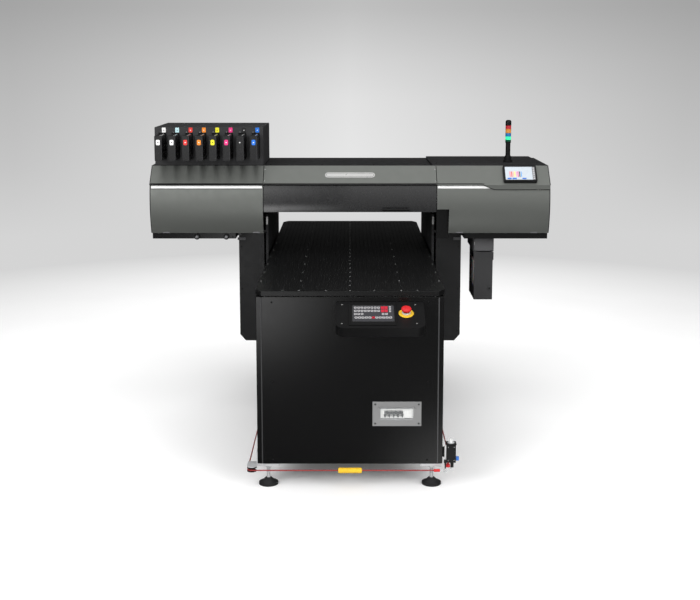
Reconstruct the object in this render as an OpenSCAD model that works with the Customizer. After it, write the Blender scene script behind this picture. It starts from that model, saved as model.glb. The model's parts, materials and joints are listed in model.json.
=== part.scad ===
// Moving-gantry flatbed inkjet printer on a vacuum-table cabinet.
// X runs right, Y runs away from the operator, Z runs up from the floor.

/* [Table] */
// Length of the vacuum table, front to back
table_l = 2000; // [1600:50:2600]
// Width of the vacuum table
table_w = 770; // [640:10:920]
// Height of the table's top face above the floor
table_z = 825; // [760:5:900]
// Thickness of the table plate
table_t = 20; // [12:1:25]
// Width of each cut-off table corner
corner_w = 25; // [5:1:35]
// Length of each cut-off table corner
corner_l = 45; // [5:1:60]
// Height of the vacuum plenum under the table
plenum_h = 45; // [30:1:60]
// Wall of the vacuum plenum
plenum_wall = 5; // [3:1:8]

/* [Cabinet] */
// Side of the square frame profile
tube = 60; // [40:5:70]
// Gap that a weld fills between two frame profiles
weld = 0.2; // [0.1:0.1:0.4]
// Height of the frame's underside above the floor
frame_z0 = 100; // [90:1:130]
// Inset of the frame's side from the table's edge
frame_inset = 35; // [30:1:45]
// Thickness of the sheet panels
panel_t = 3; // [2:0.5:4]
// Width of the strip of trim that shows beside the front panel
trim_show = 23; // [15:1:30]
// Depth of the corner trims
trim_d = 45; // [30:1:50]

/* [Feet] */
// Radius of a levelling foot's pad
pad_r = 40; // [30:1:50]
// Radius of a levelling foot's stem
stem_r = 7; // [5:0.5:10]
// Thickness of a foot's mounting plate
foot_plate_t = 12; // [8:1:16]
// Distance of the outer feet from the cabinet's ends
foot_inset = 43; // [43:1:80]

/* [Guideways] */
// Height of a guide rail's section
rail_w = 20; // [15:1:25]
// Depth of a guide rail's section
rail_d = 17.5; // [12:0.5:19]
// Running clearance round a guide rail
rail_gap = 0.3; // [0.3:0.1:0.6]
// Length of a bearing block
block_l = 90; // [60:5:120]

/* [Console] */
// Left end of the control console, from the centre line
console_x0 = -56; // [-120:1:0]
// Width of the control console
console_w = 352; // [320:1:420]
// How far the console reaches in front of the table
console_reach = 172; // [150:1:200]
// Fall of the console's face from back to front
console_drop = 68; // [40:1:90]
// Thickness of the console
console_t = 42; // [30:1:55]
// Radius of the console's corners
console_r = 34; // [10:1:45]
// Radius of the emergency stop's mushroom head
estop_r = 20; // [16:1:24]
// Travel of the emergency stop
estop_travel = 4; // [3:0.5:5]

/* [Breaker window] */
// Width of the breaker window's bezel
bezel_w = 200; // [190:1:230]
// Height of the breaker window's bezel
bezel_h = 103; // [100:1:120]
// Width of the breaker window's opening
window_w = 134; // [120:1:150]
// Height of the breaker window's opening
window_h = 43; // [40:1:50]
// Width of the tied breaker levers
lever_w = 77; // [60:1:90]

/* [Safety rope] */
// Height of the safety rope above the floor
rope_z = 80; // [76:1:84]
// Radius of the safety rope
rope_r = 2.75; // [2:0.25:3]
// Radius of the rope's bend round a corner
rope_bend = 17; // [15:1:20]
// Length of the rope's handle
rope_handle_l = 97; // [70:1:130]
// Radius of the rope's handle
rope_handle_r = 11.5; // [9:0.5:14]
// Radius of a corner pulley's flange
pulley_r = 20; // [20:0.5:22]

/* [Gantry] */
// Width of the gantry housing over its end covers
gantry_w = 1894; // [1700:2:2200]
// Distance of the housing's front behind the table's front edge
housing_y = 811; // [700:1:900]
// Height of the gap between the table and the centre cover
media_gap = 212; // [190:1:240]
// Clearance between the table's edge and each side plate
plate_gap = 12; // [10:1:16]
// Thickness of a side plate
plate_t = 12; // [8:1:16]
// Slit between a side plate and its leg cover
leg_slit = 9; // [6:1:14]
// Width of a leg cover
leg_w = 123; // [120:1:150]
// Length of the legs, front to back
leg_l = 793; // [760:1:900]
// Height of the leg covers' underside above the floor
leg_z0 = 380; // [330:1:400]
// Travel of the lift
lift_travel = 205; // [150:1:205]

/* [Housing] */
// Thickness of the sheet-metal covers
sheet_t = 3; // [2:0.5:4]
// Height of the centre front cover
cover_h = 125; // [115:1:140]
// How far the side covers hang below the centre cover
side_drop = 104; // [80:1:120]
// Gap of the groove between lower and upper covers
groove = 4; // [3:0.5:6]
// Gap of the seam between two covers
seam = 3; // [2:0.5:5]
// Rise of the sloped upper covers
slope_h = 86; // [70:1:110]
// Depth of the sloped upper covers
slope_d = 81; // [70:1:110]
// Depth of the flat top
top_d = 422; // [410:1:460]
// Fall of the sloped rear cover
rear_drop = 122; // [60:1:130]
// Radius of the lower covers' barrel shape
barrel_r = 350; // [300:10:500]
// Depth of the bottom trays
tray_h = 29; // [20:1:40]

/* [Ink rack] */
// Distance between two ink cartridges
cartridge_pitch = 63.5; // [56:0.5:64.5]
// Width of an ink cartridge
cartridge_w = 34; // [25:0.5:42]
// Height of an ink cartridge
cartridge_h = 118; // [90:1:125]
// Length of an ink cartridge
cartridge_l = 390; // [300:1:400]
// How far the cartridges stand in front of the rack
cartridge_out = 124; // [80:1:160]
// Clearance between a cartridge and its bay
bay_gap = 0.4; // [0.3:0.1:0.8]

/* [Carriage] */
// Width of the print carriage
carriage_w = 260; // [200:5:300]
// Place of the parked carriage, from the centre line
park_x = 720; // [620:5:740]
// Radius of the belt pulleys
belt_r = 20; // [15:1:25]

/* [Hidden] */
$fn = 64;

// Ink cartridges, one node each
cartridges = 8;

// Running clearance of a pin or shaft in its bore, and how far a cutter overruns a face
pin_gap = 0.05;
cut = 1;

// The origin lies under the middle of the whole machine, console and rear rope included
pulley_out = 3;
rear_reach = pulley_out + pulley_r;
yf = (console_reach - table_l - rear_reach) / 2;
yb = yf + table_l;

// Cabinet
frame_z1 = table_z - table_t - plenum_h;
frame_x1 = table_w / 2 - frame_inset;
frame_x0 = frame_x1 - tube;
frame_y0 = yf + panel_t;
frame_y1 = yb - panel_t;
post_ys = [frame_y0, (frame_y0 + frame_y1 - tube) / 2, frame_y1 - tube];
mid_tube_z = frame_z1 - 280;
trim_x1 = table_w / 2 - 4;
panel_x = trim_x1 - trim_show;
panel_z0 = frame_z0 + 1;
panel_z1 = table_z - 23;
foot_x = frame_x1 - 11;
foot_ys = [yf + foot_inset, (yf + yb) / 2, yb - foot_inset];
foot_plate_z = frame_z0 - foot_plate_t;
foot_plate_w = 87;
foot_plate_l = 80;
pad_h = 28;

// Guideways on the frame's sides
rail_zs = [frame_z1 - 14, mid_tube_z + tube / 2];
rail_x1 = frame_x1 + rail_d;
block_x0 = frame_x1 + 3;
block_x1 = rail_x1 + 12.5;
block_h = 44;
magnet_h = 20;
magnet_z0 = rail_zs[0] - block_h / 2 - 3 - magnet_h;
magnet_t = 10;
coil_gap = 2;

// Gantry legs
leg_y0 = yf + housing_y + 136;
leg_y1 = leg_y0 + leg_l;
saddle_x1 = block_x1 + 11;
saddle_y0 = leg_y0 + 13;
saddle_y1 = leg_y1 - 13;
saddle_z1 = frame_z1 + 15;
shelf_z1 = frame_z1 - 290;
shelf_t = 15;
side_x0 = table_w / 2 + plate_gap;
side_x1 = side_x0 + plate_t;
centre_x = side_x1;
leg_x0 = side_x1 + leg_slit;
leg_x1 = leg_x0 + leg_w;
lift_x = leg_x0 + 52;
screw_r = 10;
screw_ys = [leg_y0 + 58, leg_y1 - 100];
guide_post_r = 20;
guide_post_y = leg_y0 + 453;
nut_r = 28;
nut_h = 40;

// Heights of the housing
cover_z0 = table_z + media_gap;
side_z0 = cover_z0 - side_drop;
cover_z1 = cover_z0 + cover_h;
slope_z0 = cover_z1 + groove;
top_z = slope_z0 + slope_h;
tray_z0 = side_z0 - tray_h;
flange_z0 = side_z0 - 15;
flange_t = 12;

// Depths of the housing
hy = yf + housing_y;
top_y0 = hy + slope_d;
top_y1 = top_y0 + top_d;
rear_y = leg_y1;
end_x = gantry_w / 2;
end_t = 4;
end_in = end_x - end_t;
side_cover_x0 = centre_x + seam;
slope_a = atan2(slope_h, slope_d);
barrel_y = hy + barrel_r;
barrel_z = side_z0 + 137;

// Step in the groove on the right-hand side
step_x0 = side_cover_x0 + 210;
step_x1 = step_x0 + 69;
step_h = 21;

// Hinges of the lower covers
hinge_z = cover_z1 - 30;
hinge_y = hy + round(barrel_front(hinge_z) - hy + sheet_t + 9.5);
hinge_pin_r = 3;
hinge_ear_r = 6;
hinge_ear_w = 14;
side_hinge_xs = [side_cover_x0 + 68, end_in - 63];
centre_hinge_x = centre_x - 69;

// Beam, rails, belt and carriage
beam_y0 = hy + 249;
beam_d = 180;
beam_z0 = cover_z0 + 3;
beam_h = 110;
beam_wall = 10;
beam_z1 = beam_z0 + beam_h;
x_rail_d = 15;
x_rail_zs = [beam_z0 + 25, beam_z0 + 85];
axle_r = 5;
axle_x = end_in - 38;
axle_y = beam_y0 + 40;
belt_gap = 0.3;
belt_t = 2;
belt_h = 10;
belt_z0 = beam_z1 + 6;
belt_in = belt_r + belt_gap;
carriage_y = beam_y0 - 30;
head_z0 = cover_z0 + 3;

// Ink rack
rack_x0 = -end_in + 13;
rack_x1 = -side_cover_x0;
rack_d = 389;
rack_h = 182;
rack_y1 = top_y0 + rack_d;
bay_z0 = top_z + 31;
bay_x = (rack_x0 + rack_x1) / 2;

// Waste ink
waste_x = side_cover_x0 + 236.5;
waste_y0 = leg_y0 - 28;
bracket_w = 97;
bracket_h = 74;
bracket_l = 286;
bottle_tray_w = 90;
bottle_tray_h = 236;
bottle_tray_l = 216;
wall = 3;

// Rope switch and rope
switch_x0 = trim_x1 + 15;
rope_x = trim_x1 + 40;
rope_y0 = yf - 20;
rope_y1 = yb + 20;
pulley_x = rope_x - rope_bend;
pulley_groove_r = rope_bend - rope_r - 0.35;
bracket_z = 92;
bracket_t = 4;

// ---------------------------------------------------------------- helpers

// A block between two opposite corners
module block(a, b) translate(a) cube(b - a);

// The children and their mirror image across the centre line
module both_sides() {
    children();
    mirror([1, 0, 0]) children();
}

// A Y-Z outline extruded along X
module across(x0, x1) translate([x0, 0, 0]) rotate([90, 0, 90]) linear_extrude(x1 - x0) children();

// An X-Z outline extruded along Y
module along(y0, y1) translate([0, y1, 0]) rotate([90, 0, 0]) linear_extrude(y1 - y0) children();

// A rod along X
module rod_x(x0, x1, y, z, r) translate([x0, y, z]) rotate([0, 90, 0]) cylinder(h = x1 - x0, r = r);

// A rod along Y
module rod_y(y0, y1, x, z, r) translate([x, y1, z]) rotate([90, 0, 0]) cylinder(h = y1 - y0, r = r);

// Corners of a rectangle whose corners are rounded to radius r
function rounded(x0, y0, x1, y1, r, steps = 6) = [
    for (c = [[x1 - r, y1 - r, 0], [x0 + r, y1 - r, 90], [x0 + r, y0 + r, 180], [x1 - r, y0 + r, 270]])
        for (i = [0:steps])
            let (a = c[2] + 90 * i / steps) [c[0] + r * cos(a), c[1] + r * sin(a)]
];

// Depth of the lower covers' outer face at height z
function barrel_front(z) = barrel_y - sqrt(barrel_r * barrel_r - (z - barrel_z) * (z - barrel_z));

// A smooth step from 0 to 1 while t runs from 0 to 1
function ease(t) = (1 - cos(180 * t)) / 2;

// Height of the lower covers' top edge on the right-hand side, from left to right
function step_edge(z) = [
    for (i = [0:10]) [step_x0 + (step_x1 - step_x0) * i / 10, z - step_h * ease(i / 10)]
];

// A box section for a rail's bearing block, open where the rail runs
module bearing(x0, x1, y, z) {
    difference() {
        block([x0, y - block_l / 2, z - block_h / 2], [x1, y + block_l / 2, z + block_h / 2]);
        block(
            [x0 - cut, y - block_l / 2 - cut, z - rail_w / 2 - rail_gap],
            [rail_x1 + rail_gap, y + block_l / 2 + cut, z + rail_w / 2 + rail_gap]
        );
    }
}

// ---------------------------------------------------------------- cabinet

module bed_frame() {
    color("dimgray") {
        both_sides() {
            for (y = post_ys)
                block(
                    [frame_x0, y, frame_z0 + tube + weld],
                    [frame_x1, y + tube, frame_z1 - tube - weld]
                );
            for (z = [frame_z0, frame_z1 - tube])
                block([frame_x0, frame_y0, z], [frame_x1, frame_y1, z + tube]);
            for (i = [0, 1])
                block(
                    [frame_x0, post_ys[i] + tube + weld, mid_tube_z],
                    [frame_x1, post_ys[i + 1] - weld, mid_tube_z + tube]
                );
        }
        for (y = post_ys, z = [frame_z0, frame_z1 - tube])
            block([-frame_x0 + weld, y, z], [frame_x0 - weld, y + tube, z + tube]);
    }
}

module foot_stems() {
    color("silver") both_sides() for (y = foot_ys) translate([foot_x, y, 0]) {
        translate([-frame_inset - 13, -foot_plate_l / 2, foot_plate_z])
            cube([foot_plate_w, foot_plate_l, foot_plate_t]);
        translate([0, 0, pad_h]) cylinder(h = foot_plate_z - pad_h, r = stem_r);
        translate([0, 0, foot_plate_z - 16]) cylinder(h = 16, r = stem_r * 1.9, $fn = 6);
    }
}

module foot_pads() {
    color("black") both_sides() for (y = foot_ys) translate([foot_x, y, 0]) {
        cylinder(h = 9, r = pad_r);
        translate([0, 0, 9]) cylinder(h = pad_h - 9, r1 = pad_r - 8, r2 = stem_r + 6);
    }
}

module corner_trims() {
    color("black") both_sides() for (y = [frame_y0, frame_y1 - trim_d])
        block([frame_x1, y, panel_z0], [trim_x1, y + trim_d, panel_z1]);
}

// Breaker window's place on the front panel
bezel_x = 192;
bezel_z = 314.5;
box_w = window_w + 26;
box_h = bezel_h - 11;
box_d = 74;

module front_panel() {
    color("black") difference() {
        block([-panel_x, yf, panel_z0], [panel_x, yf + panel_t, panel_z1]);
        translate([bezel_x, yf, bezel_z]) cube([box_w + 1, 3 * panel_t, box_h + 1], center = true);
    }
}

module side_and_rear_panels() {
    color("black") {
        both_sides() block(
            [frame_x0 - weld - panel_t, frame_y0, frame_z0 + tube + weld],
            [frame_x0 - weld, frame_y1 - weld, frame_z1 - tube - weld]
        );
        block([-panel_x, yb - panel_t, panel_z0], [panel_x, yb, panel_z1]);
    }
}

module vacuum_table() {
    x = table_w / 2;
    color("#18191b") translate([0, 0, table_z - table_t]) linear_extrude(table_t) polygon([
        [-x + corner_w, yf], [x - corner_w, yf], [x, yf + corner_l], [x, yb - corner_l],
        [x - corner_w, yb], [-x + corner_w, yb], [-x, yb - corner_l], [-x, yf + corner_l]
    ]);
}

module vacuum_plenum() {
    x = frame_x1 - 5;
    y0 = yf + 30;
    y1 = yb - 30;
    zones = 4;
    zone_l = (y1 - y0 - plenum_wall) / zones;
    color("gray") difference() {
        block([-x, y0, frame_z1], [x, y1, frame_z1 + plenum_h]);
        for (i = [0:zones - 1]) both_sides() block(
            [plenum_wall / 2, y0 + plenum_wall + i * zone_l, frame_z1 + plenum_wall],
            [x - plenum_wall, y0 + (i + 1) * zone_l, frame_z1 + plenum_h + cut]
        );
        translate([80, blower_y, frame_z1 - cut]) cylinder(h = plenum_wall + 2 * cut, r = 25);
    }
}

// Blower's place, just ahead of the middle cross member
blower_y = post_ys[1] - 70;

module vacuum_blower() {
    z0 = frame_z0 + tube;
    color("slategray") {
        block([-150, blower_y - 80, z0], [160, post_ys[1] + tube, z0 + 6]);
        rod_y(blower_y - 60, blower_y + 50, 0, z0 + 150, 145);
        rod_y(blower_y + 50, blower_y + 230, 0, z0 + 150, 75);
        block([-60, blower_y - 60, z0 + 5], [60, blower_y + 50, z0 + 80]);
        difference() {
            translate([80, blower_y, z0 + 200]) cylinder(h = frame_z1 - z0 - 200, r = 30);
            translate([80, blower_y, z0 + 320]) cylinder(h = frame_z1 - z0, r = 25);
        }
    }
}

module y_guideways() {
    color("silver") both_sides() {
        for (z = rail_zs)
            block([frame_x1, yf + 60, z - rail_w / 2], [rail_x1, yb - 60, z + rail_w / 2]);
        block(
            [frame_x1, yf + 60, magnet_z0],
            [frame_x1 + magnet_t, yb - 60, magnet_z0 + magnet_h]
        );
    }
}

// ---------------------------------------------------------------- console

console_z = table_z - 42;
console_back = 4;
console_a = atan2(console_drop, console_reach - console_back);
console_l = (console_reach - console_back) / cos(console_a);
console_x1 = console_x0 + console_w;
estop_x = console_x1 - 73;
estop_down = 82;
estop_neck_r = 14;
estop_neck_h = 10;
estop_stem_r = 8;
ear_x0 = console_x0 + 41;
ear_x1 = console_x1 - 33;
ear_z0 = table_z - 175;

// Puts the children on the console's face: X as it is, Y up the slope, Z out of the face
module on_console() translate([0, yf - console_back, console_z]) rotate([console_a, 0, 0]) children();

module console_housing() {
    underside = console_t / cos(console_a);
    front_y = yf - console_reach;
    front_z = console_z - console_drop;
    color("#1c1d1f") difference() {
        union() {
            intersection() {
                across(console_x0, console_x1) polygon([
                    [yf - console_back, console_z],
                    [front_y, front_z],
                    [front_y + console_t * sin(console_a), front_z - console_t * cos(console_a)],
                    [yf - console_back, console_z - underside]
                ]);
                on_console() translate([0, 0, -2 * console_t]) linear_extrude(3 * console_t)
                    polygon(rounded(console_x0, -console_l, console_x1, 60, console_r));
            }
            on_console() translate([estop_x, -estop_down, -2])
                cylinder(h = estop_neck_h + 2, r = estop_neck_r);
            block([ear_x0, yf - console_back, ear_z0], [ear_x1, yf, console_z - 10]);
            for (x = [ear_x0, ear_x1 - console_back]) across(x, x + console_back) polygon([
                [yf - console_back, ear_z0],
                [yf - console_back, console_z - underside + 1],
                [yf - 92, console_z - underside - 35],
                [yf - 30, ear_z0]
            ]);
        }
        on_console() translate([estop_x, -estop_down, -24]) cylinder(h = 50, r = estop_stem_r + 0.3);
    }
}

module estop_button() {
    head_z = estop_neck_h + estop_travel + 2;
    color("red") on_console() translate([estop_x, -estop_down, 0]) {
        translate([0, 0, -16]) cylinder(h = head_z + 17, r = estop_stem_r);
        translate([0, 0, head_z]) cylinder(h = 8, r = estop_r);
        translate([0, 0, head_z + 8]) cylinder(h = 4, r1 = estop_r, r2 = estop_r - 5);
    }
}

// ---------------------------------------------------------------- breaker window

bezel_t = 4;
flap_axis_y = yf - bezel_t - 3;
flap_axis_z = bezel_z + window_h / 2 + 5;
flap_x = window_w / 2 + 3;
flap_pin_r = 1.5;
lever_y = yf + 12;
lever_reach = 14;

module breaker_bezel() {
    color("silver") difference() {
        union() {
            block(
                [bezel_x - bezel_w / 2, yf - bezel_t, bezel_z - bezel_h / 2],
                [bezel_x + bezel_w / 2, yf, bezel_z + bezel_h / 2]
            );
            block(
                [bezel_x - box_w / 2, yf - cut, bezel_z - box_h / 2],
                [bezel_x + box_w / 2, yf + box_d, bezel_z + box_h / 2]
            );
        }
        block(
            [bezel_x - box_w / 2 + wall, yf, bezel_z - box_h / 2 + wall],
            [bezel_x + box_w / 2 - wall, yf + box_d - wall, bezel_z + box_h / 2 - wall]
        );
        translate([bezel_x, yf, bezel_z]) cube([window_w, 4 * bezel_t, window_h], center = true);
    }
    color("silver") {
        for (x = [bezel_x - flap_x - 5, bezel_x + flap_x + 1]) block(
            [x, flap_axis_y - 3, flap_axis_z - 3], [x + 4, yf - bezel_t, flap_axis_z + 3]
        );
        rod_x(bezel_x - flap_x - 5, bezel_x + flap_x + 5, flap_axis_y, flap_axis_z, flap_pin_r);
    }
}

module breaker_flap() {
    color([0.7, 0.75, 0.8, 0.4]) difference() {
        union() {
            rod_x(bezel_x - flap_x, bezel_x + flap_x, flap_axis_y, flap_axis_z, 2.6);
            block(
                [bezel_x - flap_x, flap_axis_y - 1, bezel_z - window_h / 2 - 3],
                [bezel_x + flap_x, flap_axis_y + 1, flap_axis_z]
            );
        }
        rod_x(
            bezel_x - flap_x - cut, bezel_x + flap_x + cut, flap_axis_y, flap_axis_z,
            flap_pin_r + pin_gap
        );
    }
}

module breaker_bank() {
    x0 = bezel_x - window_w / 2 + 9;
    x1 = x0 + 5 * 18;
    color("whitesmoke") {
        difference() {
            union() {
                block([x0, yf + 16, bezel_z - 41], [x1, yf + box_d - wall, bezel_z + 41]);
                block([x0, yf + 4, bezel_z - 21], [x1, yf + 17, bezel_z + 21]);
            }
            rod_x(x0 + 6.5, x0 + lever_w + 7.5, lever_y, bezel_z, lever_reach + 1);
        }
        rod_x(x0 + 6, x0 + lever_w + 8, lever_y, bezel_z, flap_pin_r);
    }
}

module breaker_lever() {
    x0 = bezel_x - window_w / 2 + 16;
    teeth = 4;
    color("#33353a") translate([x0, lever_y, bezel_z]) rotate([-35, 0, 0]) difference() {
        union() {
            rotate([0, 90, 0]) cylinder(h = lever_w, r = 4);
            translate([0, -lever_reach + 4, -2]) cube([lever_w, lever_reach - 4, 4]);
            for (i = [0:teeth - 1]) translate([6 + i * 18, -lever_reach, -2]) cube([9, 6, 4]);
        }
        translate([-cut, 0, 0]) rotate([0, 90, 0])
            cylinder(h = lever_w + 2 * cut, r = flap_pin_r + pin_gap);
    }
}

// ---------------------------------------------------------------- rope and rope switch

switch_w = 38;
switch_z0 = 112;
switch_z1 = 187;
switch_button_x = switch_x0 + 8;
switch_knob_z = 124;
eye_x = switch_x0 - 5;
eye_r = 9;

module switch_body() {
    color("#2b2c2e") difference() {
        union() {
            block([switch_x0, yf - 18, switch_z0], [switch_x0 + switch_w, yf + 18, switch_z1]);
            block([switch_x0 - 2, yf - 20, switch_z1], [switch_x0 + switch_w + 2, yf + 20, switch_z1 + 4]);
            block([trim_x1, yf + 3, 130], [switch_x0 + 1, yf + 15, 170]);
            block([rope_x - 6, yf, rope_z + 6], [rope_x + 6, yf + 14, switch_z0 + 1]);
            block([eye_x - 6, yf - 24, switch_z0], [switch_x0 + 1, yf - 14, switch_z0 + 13]);
            translate([eye_x, rope_y0, rope_z + eye_r]) cylinder(h = switch_z0 - rope_z - eye_r + 1, r = 3);
        }
        translate([switch_button_x, yf, switch_z0 - cut]) cylinder(h = 16, r = 4.3);
        rod_x(switch_x0 + switch_w - 14, switch_x0 + switch_w + cut, yf, switch_knob_z, 4.3);
    }
}

module switch_test_button() {
    color("red") translate([switch_button_x, yf, switch_z0 - 24]) {
        cylinder(h = 12, r = 8);
        cylinder(h = 32, r = 4);
    }
}

module switch_reset_knob() {
    color("blue") {
        rod_x(switch_x0 + switch_w + 2, switch_x0 + switch_w + 14, yf, switch_knob_z, 9);
        rod_x(switch_x0 + switch_w - 12, switch_x0 + switch_w + 3, yf, switch_knob_z, 4);
    }
}

ferrule_l = 25;
ferrule_x1 = eye_x - 21;
fitting_y1 = yf + 24;

// Quarter bend of the rope round a corner pulley, starting at angle a
function bend(x, y, a) = [
    for (i = [0:6]) [x + rope_bend * cos(a - 15 * i), y + rope_bend * sin(a - 15 * i)]
];

rope_path = concat(
    [[ferrule_x1 - ferrule_l, rope_y0]],
    bend(-pulley_x, rope_y0 + rope_bend, 270),
    bend(-pulley_x, rope_y1 - rope_bend, 180),
    bend(pulley_x, rope_y1 - rope_bend, 90),
    [[rope_x, fitting_y1]]
);

// A round tube with the given number of sides along a flat path at height z
module flat_tube(path, z, r, sides = 8) {
    n = len(path);
    function heading(i) = let (d = path[min(i + 1, n - 1)] - path[max(i - 1, 0)]) d / norm(d);
    points = [
        for (i = [0:n - 1], k = [0:sides - 1])
            let (h = heading(i), a = 360 * k / sides)
            [path[i][0] - h[1] * r * cos(a), path[i][1] + h[0] * r * cos(a), z + r * sin(a)]
    ];
    walls = [
        for (i = [0:n - 2], k = [0:sides - 1])
            let (m = (k + 1) % sides)
            [i * sides + k, i * sides + m, (i + 1) * sides + m, (i + 1) * sides + k]
    ];
    ends = [[for (k = [sides - 1:-1:0]) k], [for (k = [0:sides - 1]) (n - 1) * sides + k]];
    polyhedron(points, concat(walls, ends), convexity = 8);
}

module safety_rope() {
    color("red") flat_tube(rope_path, rope_z, rope_r);
}

module rope_handle() {
    color("gold") difference() {
        rod_x(-rope_handle_l / 2, rope_handle_l / 2, rope_y0, rope_z, rope_handle_r);
        rod_x(-rope_handle_l / 2 - cut, rope_handle_l / 2 + cut, rope_y0, rope_z, rope_r + 0.3);
    }
}

module rope_fittings() {
    color("silver") {
        rod_x(ferrule_x1 - ferrule_l, ferrule_x1, rope_y0, rope_z, 5);
        rod_x(ferrule_x1 - 1, eye_x - eye_r + 2.5, rope_y0, rope_z, 2.5);
        translate([eye_x, rope_y0, rope_z]) rotate([90, 0, 0]) rotate_extrude()
            translate([eye_r - 2.5, 0]) circle(2.5);
        rod_y(yf - 4, fitting_y1, rope_x, rope_z, 6);
    }
}

// A grooved roller round the given centre, with its rope's groove at the rope's height
module roller(x, y, bore) {
    lip = 7;
    translate([x, y, rope_z]) difference() {
        rotate_extrude() polygon([
            [0, -8], [pulley_r, -8], [pulley_r, -lip + 1], [pulley_groove_r, -3.2],
            [pulley_groove_r, 3.2], [pulley_r, lip - 1], [pulley_r, 8], [0, 8]
        ]);
        if (bore > 0) translate([0, 0, -8 - cut]) cylinder(h = 16 + 2 * cut, r = bore);
    }
}

roller_axle_r = 4;

module pulley_bracket() {
    y = yf - pulley_out;
    y1 = frame_y0 + trim_d - 5;
    block([trim_x1, frame_y0, bracket_z], [trim_x1 + bracket_t, y1, bracket_z + 58]);
    block([trim_x1, y, bracket_z], [pulley_x + pulley_r, y1, bracket_z + bracket_t]);
    translate([pulley_x, y, bracket_z]) cylinder(h = bracket_t, r = pulley_r);
    translate([pulley_x, y, rope_z - 8]) cylinder(h = bracket_z - rope_z + 9, r = roller_axle_r);
    translate([pulley_x, y, rope_z - 11]) cylinder(h = 2.5, r = 7);
    translate([pulley_x, y, rope_z - 9]) cylinder(h = 2, r = roller_axle_r);
}

module pulley_brackets() {
    middle = (yf + yb) / 2;
    color("silver") {
        mirror([1, 0, 0]) pulley_bracket();
        both_sides() {
            translate([0, 2 * middle, 0]) mirror([0, 1, 0]) pulley_bracket();
            roller(pulley_x, yb + pulley_out, 0);
        }
    }
}

module rope_pulley() {
    color("#202020") roller(-pulley_x, yf - pulley_out, roller_axle_r + pin_gap);
}

// ---------------------------------------------------------------- gantry base

module saddle_plates() {
    color("gray") both_sides() difference() {
        union() {
            block([block_x1, saddle_y0, shelf_z1 - shelf_t], [saddle_x1, saddle_y1, saddle_z1]);
            block([saddle_x1 - cut, saddle_y0, shelf_z1 - shelf_t], [leg_x1 - 11, saddle_y1, shelf_z1]);
            translate([lift_x, guide_post_y, shelf_z1 - 1])
                cylinder(h = flange_z0 + flange_t + 5 - shelf_z1, r = guide_post_r);
            for (y = screw_ys) translate([lift_x, y, shelf_z1 - 1]) cylinder(h = nut_h + 1, r = nut_r);
        }
        for (y = screw_ys) translate([lift_x, y, shelf_z1 - shelf_t - cut])
            cylinder(h = shelf_t + nut_h + 2 * cut, r = screw_r + pin_gap);
    }
}

module bearing_blocks() {
    color("slategray") both_sides() {
        for (y = [saddle_y0 + 50, saddle_y1 - 50], z = rail_zs) bearing(block_x0, block_x1, y, z);
        block(
            [frame_x1 + magnet_t + coil_gap, leg_y0 + 240, magnet_z0],
            [block_x1, leg_y0 + 540, magnet_z0 + magnet_h]
        );
    }
}

// ---------------------------------------------------------------- gantry head

module lift_screws() {
    color("silver") both_sides() for (y = screw_ys) {
        translate([lift_x, y, leg_z0 + 60]) cylinder(h = flange_z0 + flange_t - leg_z0 - 59, r = screw_r);
        block(
            [lift_x - 43, y - 43, flange_z0 + flange_t],
            [lift_x + 43, y + 43, plate_top_z - 5]
        );
    }
}

side_plate_z0 = shelf_z1 + lift_travel + 5;
plate_top_z = beam_z0 - 30;

module side_plates() {
    color("dimgray") both_sides() difference() {
        union() {
            block([side_x0, leg_y0, side_plate_z0], [side_x1, leg_y1 - sheet_t, plate_top_z]);
            block([side_x0, beam_y0, plate_top_z - cut], [side_x1, beam_y0 + beam_d, beam_z0]);
            block(
                [side_x1 - cut, leg_y0 + sheet_t, flange_z0],
                [leg_x1 - sheet_t, leg_y1 - sheet_t, flange_z0 + flange_t]
            );
        }
        translate([lift_x, guide_post_y, flange_z0 - cut])
            cylinder(h = flange_t + 2 * cut, r = guide_post_r + pin_gap);
        for (y = screw_ys) translate([lift_x, y, flange_z0 + flange_t / 2])
            cube([2 * screw_r + 6, 2 * screw_r + 6, 2 * flange_t], center = true);
    }
}

// Outline of a leg cover seen from the front, drawn in by t
module leg_outline(t) polygon([
    [leg_x0 - (t > 0 ? cut : 0), leg_z0 + t],
    [leg_x1 - 27 - t / 3, leg_z0 + t],
    [leg_x1 - t, leg_z0 + 31 + t / 3],
    [leg_x1 - t, side_z0 + (t > 0 ? cut : 0)],
    [leg_x0 - (t > 0 ? cut : 0), side_z0 + (t > 0 ? cut : 0)]
]);

module leg_covers() {
    color("#1a1b1d") both_sides() difference() {
        along(leg_y0, leg_y1) leg_outline(0);
        along(leg_y0 + sheet_t, leg_y1 - sheet_t) leg_outline(sheet_t);
    }
}

module gantry_beam() {
    color("gray") {
        difference() {
            block([-end_in, beam_y0, beam_z0], [end_in, beam_y0 + beam_d, beam_z1]);
            block(
                [-end_in - cut, beam_y0 + beam_wall, beam_z0 + beam_wall],
                [end_in + cut, beam_y0 + beam_d - beam_wall, beam_z1 - beam_wall]
            );
        }
        for (x = [-axle_x, axle_x]) translate([x, axle_y, beam_z1 - 1]) {
            cylinder(h = belt_z0 + belt_h + 6 - beam_z1, r = axle_r);
            cylinder(h = 3, r = axle_r + 4);
        }
    }
}

module x_rails() {
    color("silver") for (z = x_rail_zs) block(
        [-end_in + 8, beam_y0 - x_rail_d, z - rail_w / 2], [end_in - 8, beam_y0, z + rail_w / 2]
    );
}

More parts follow.
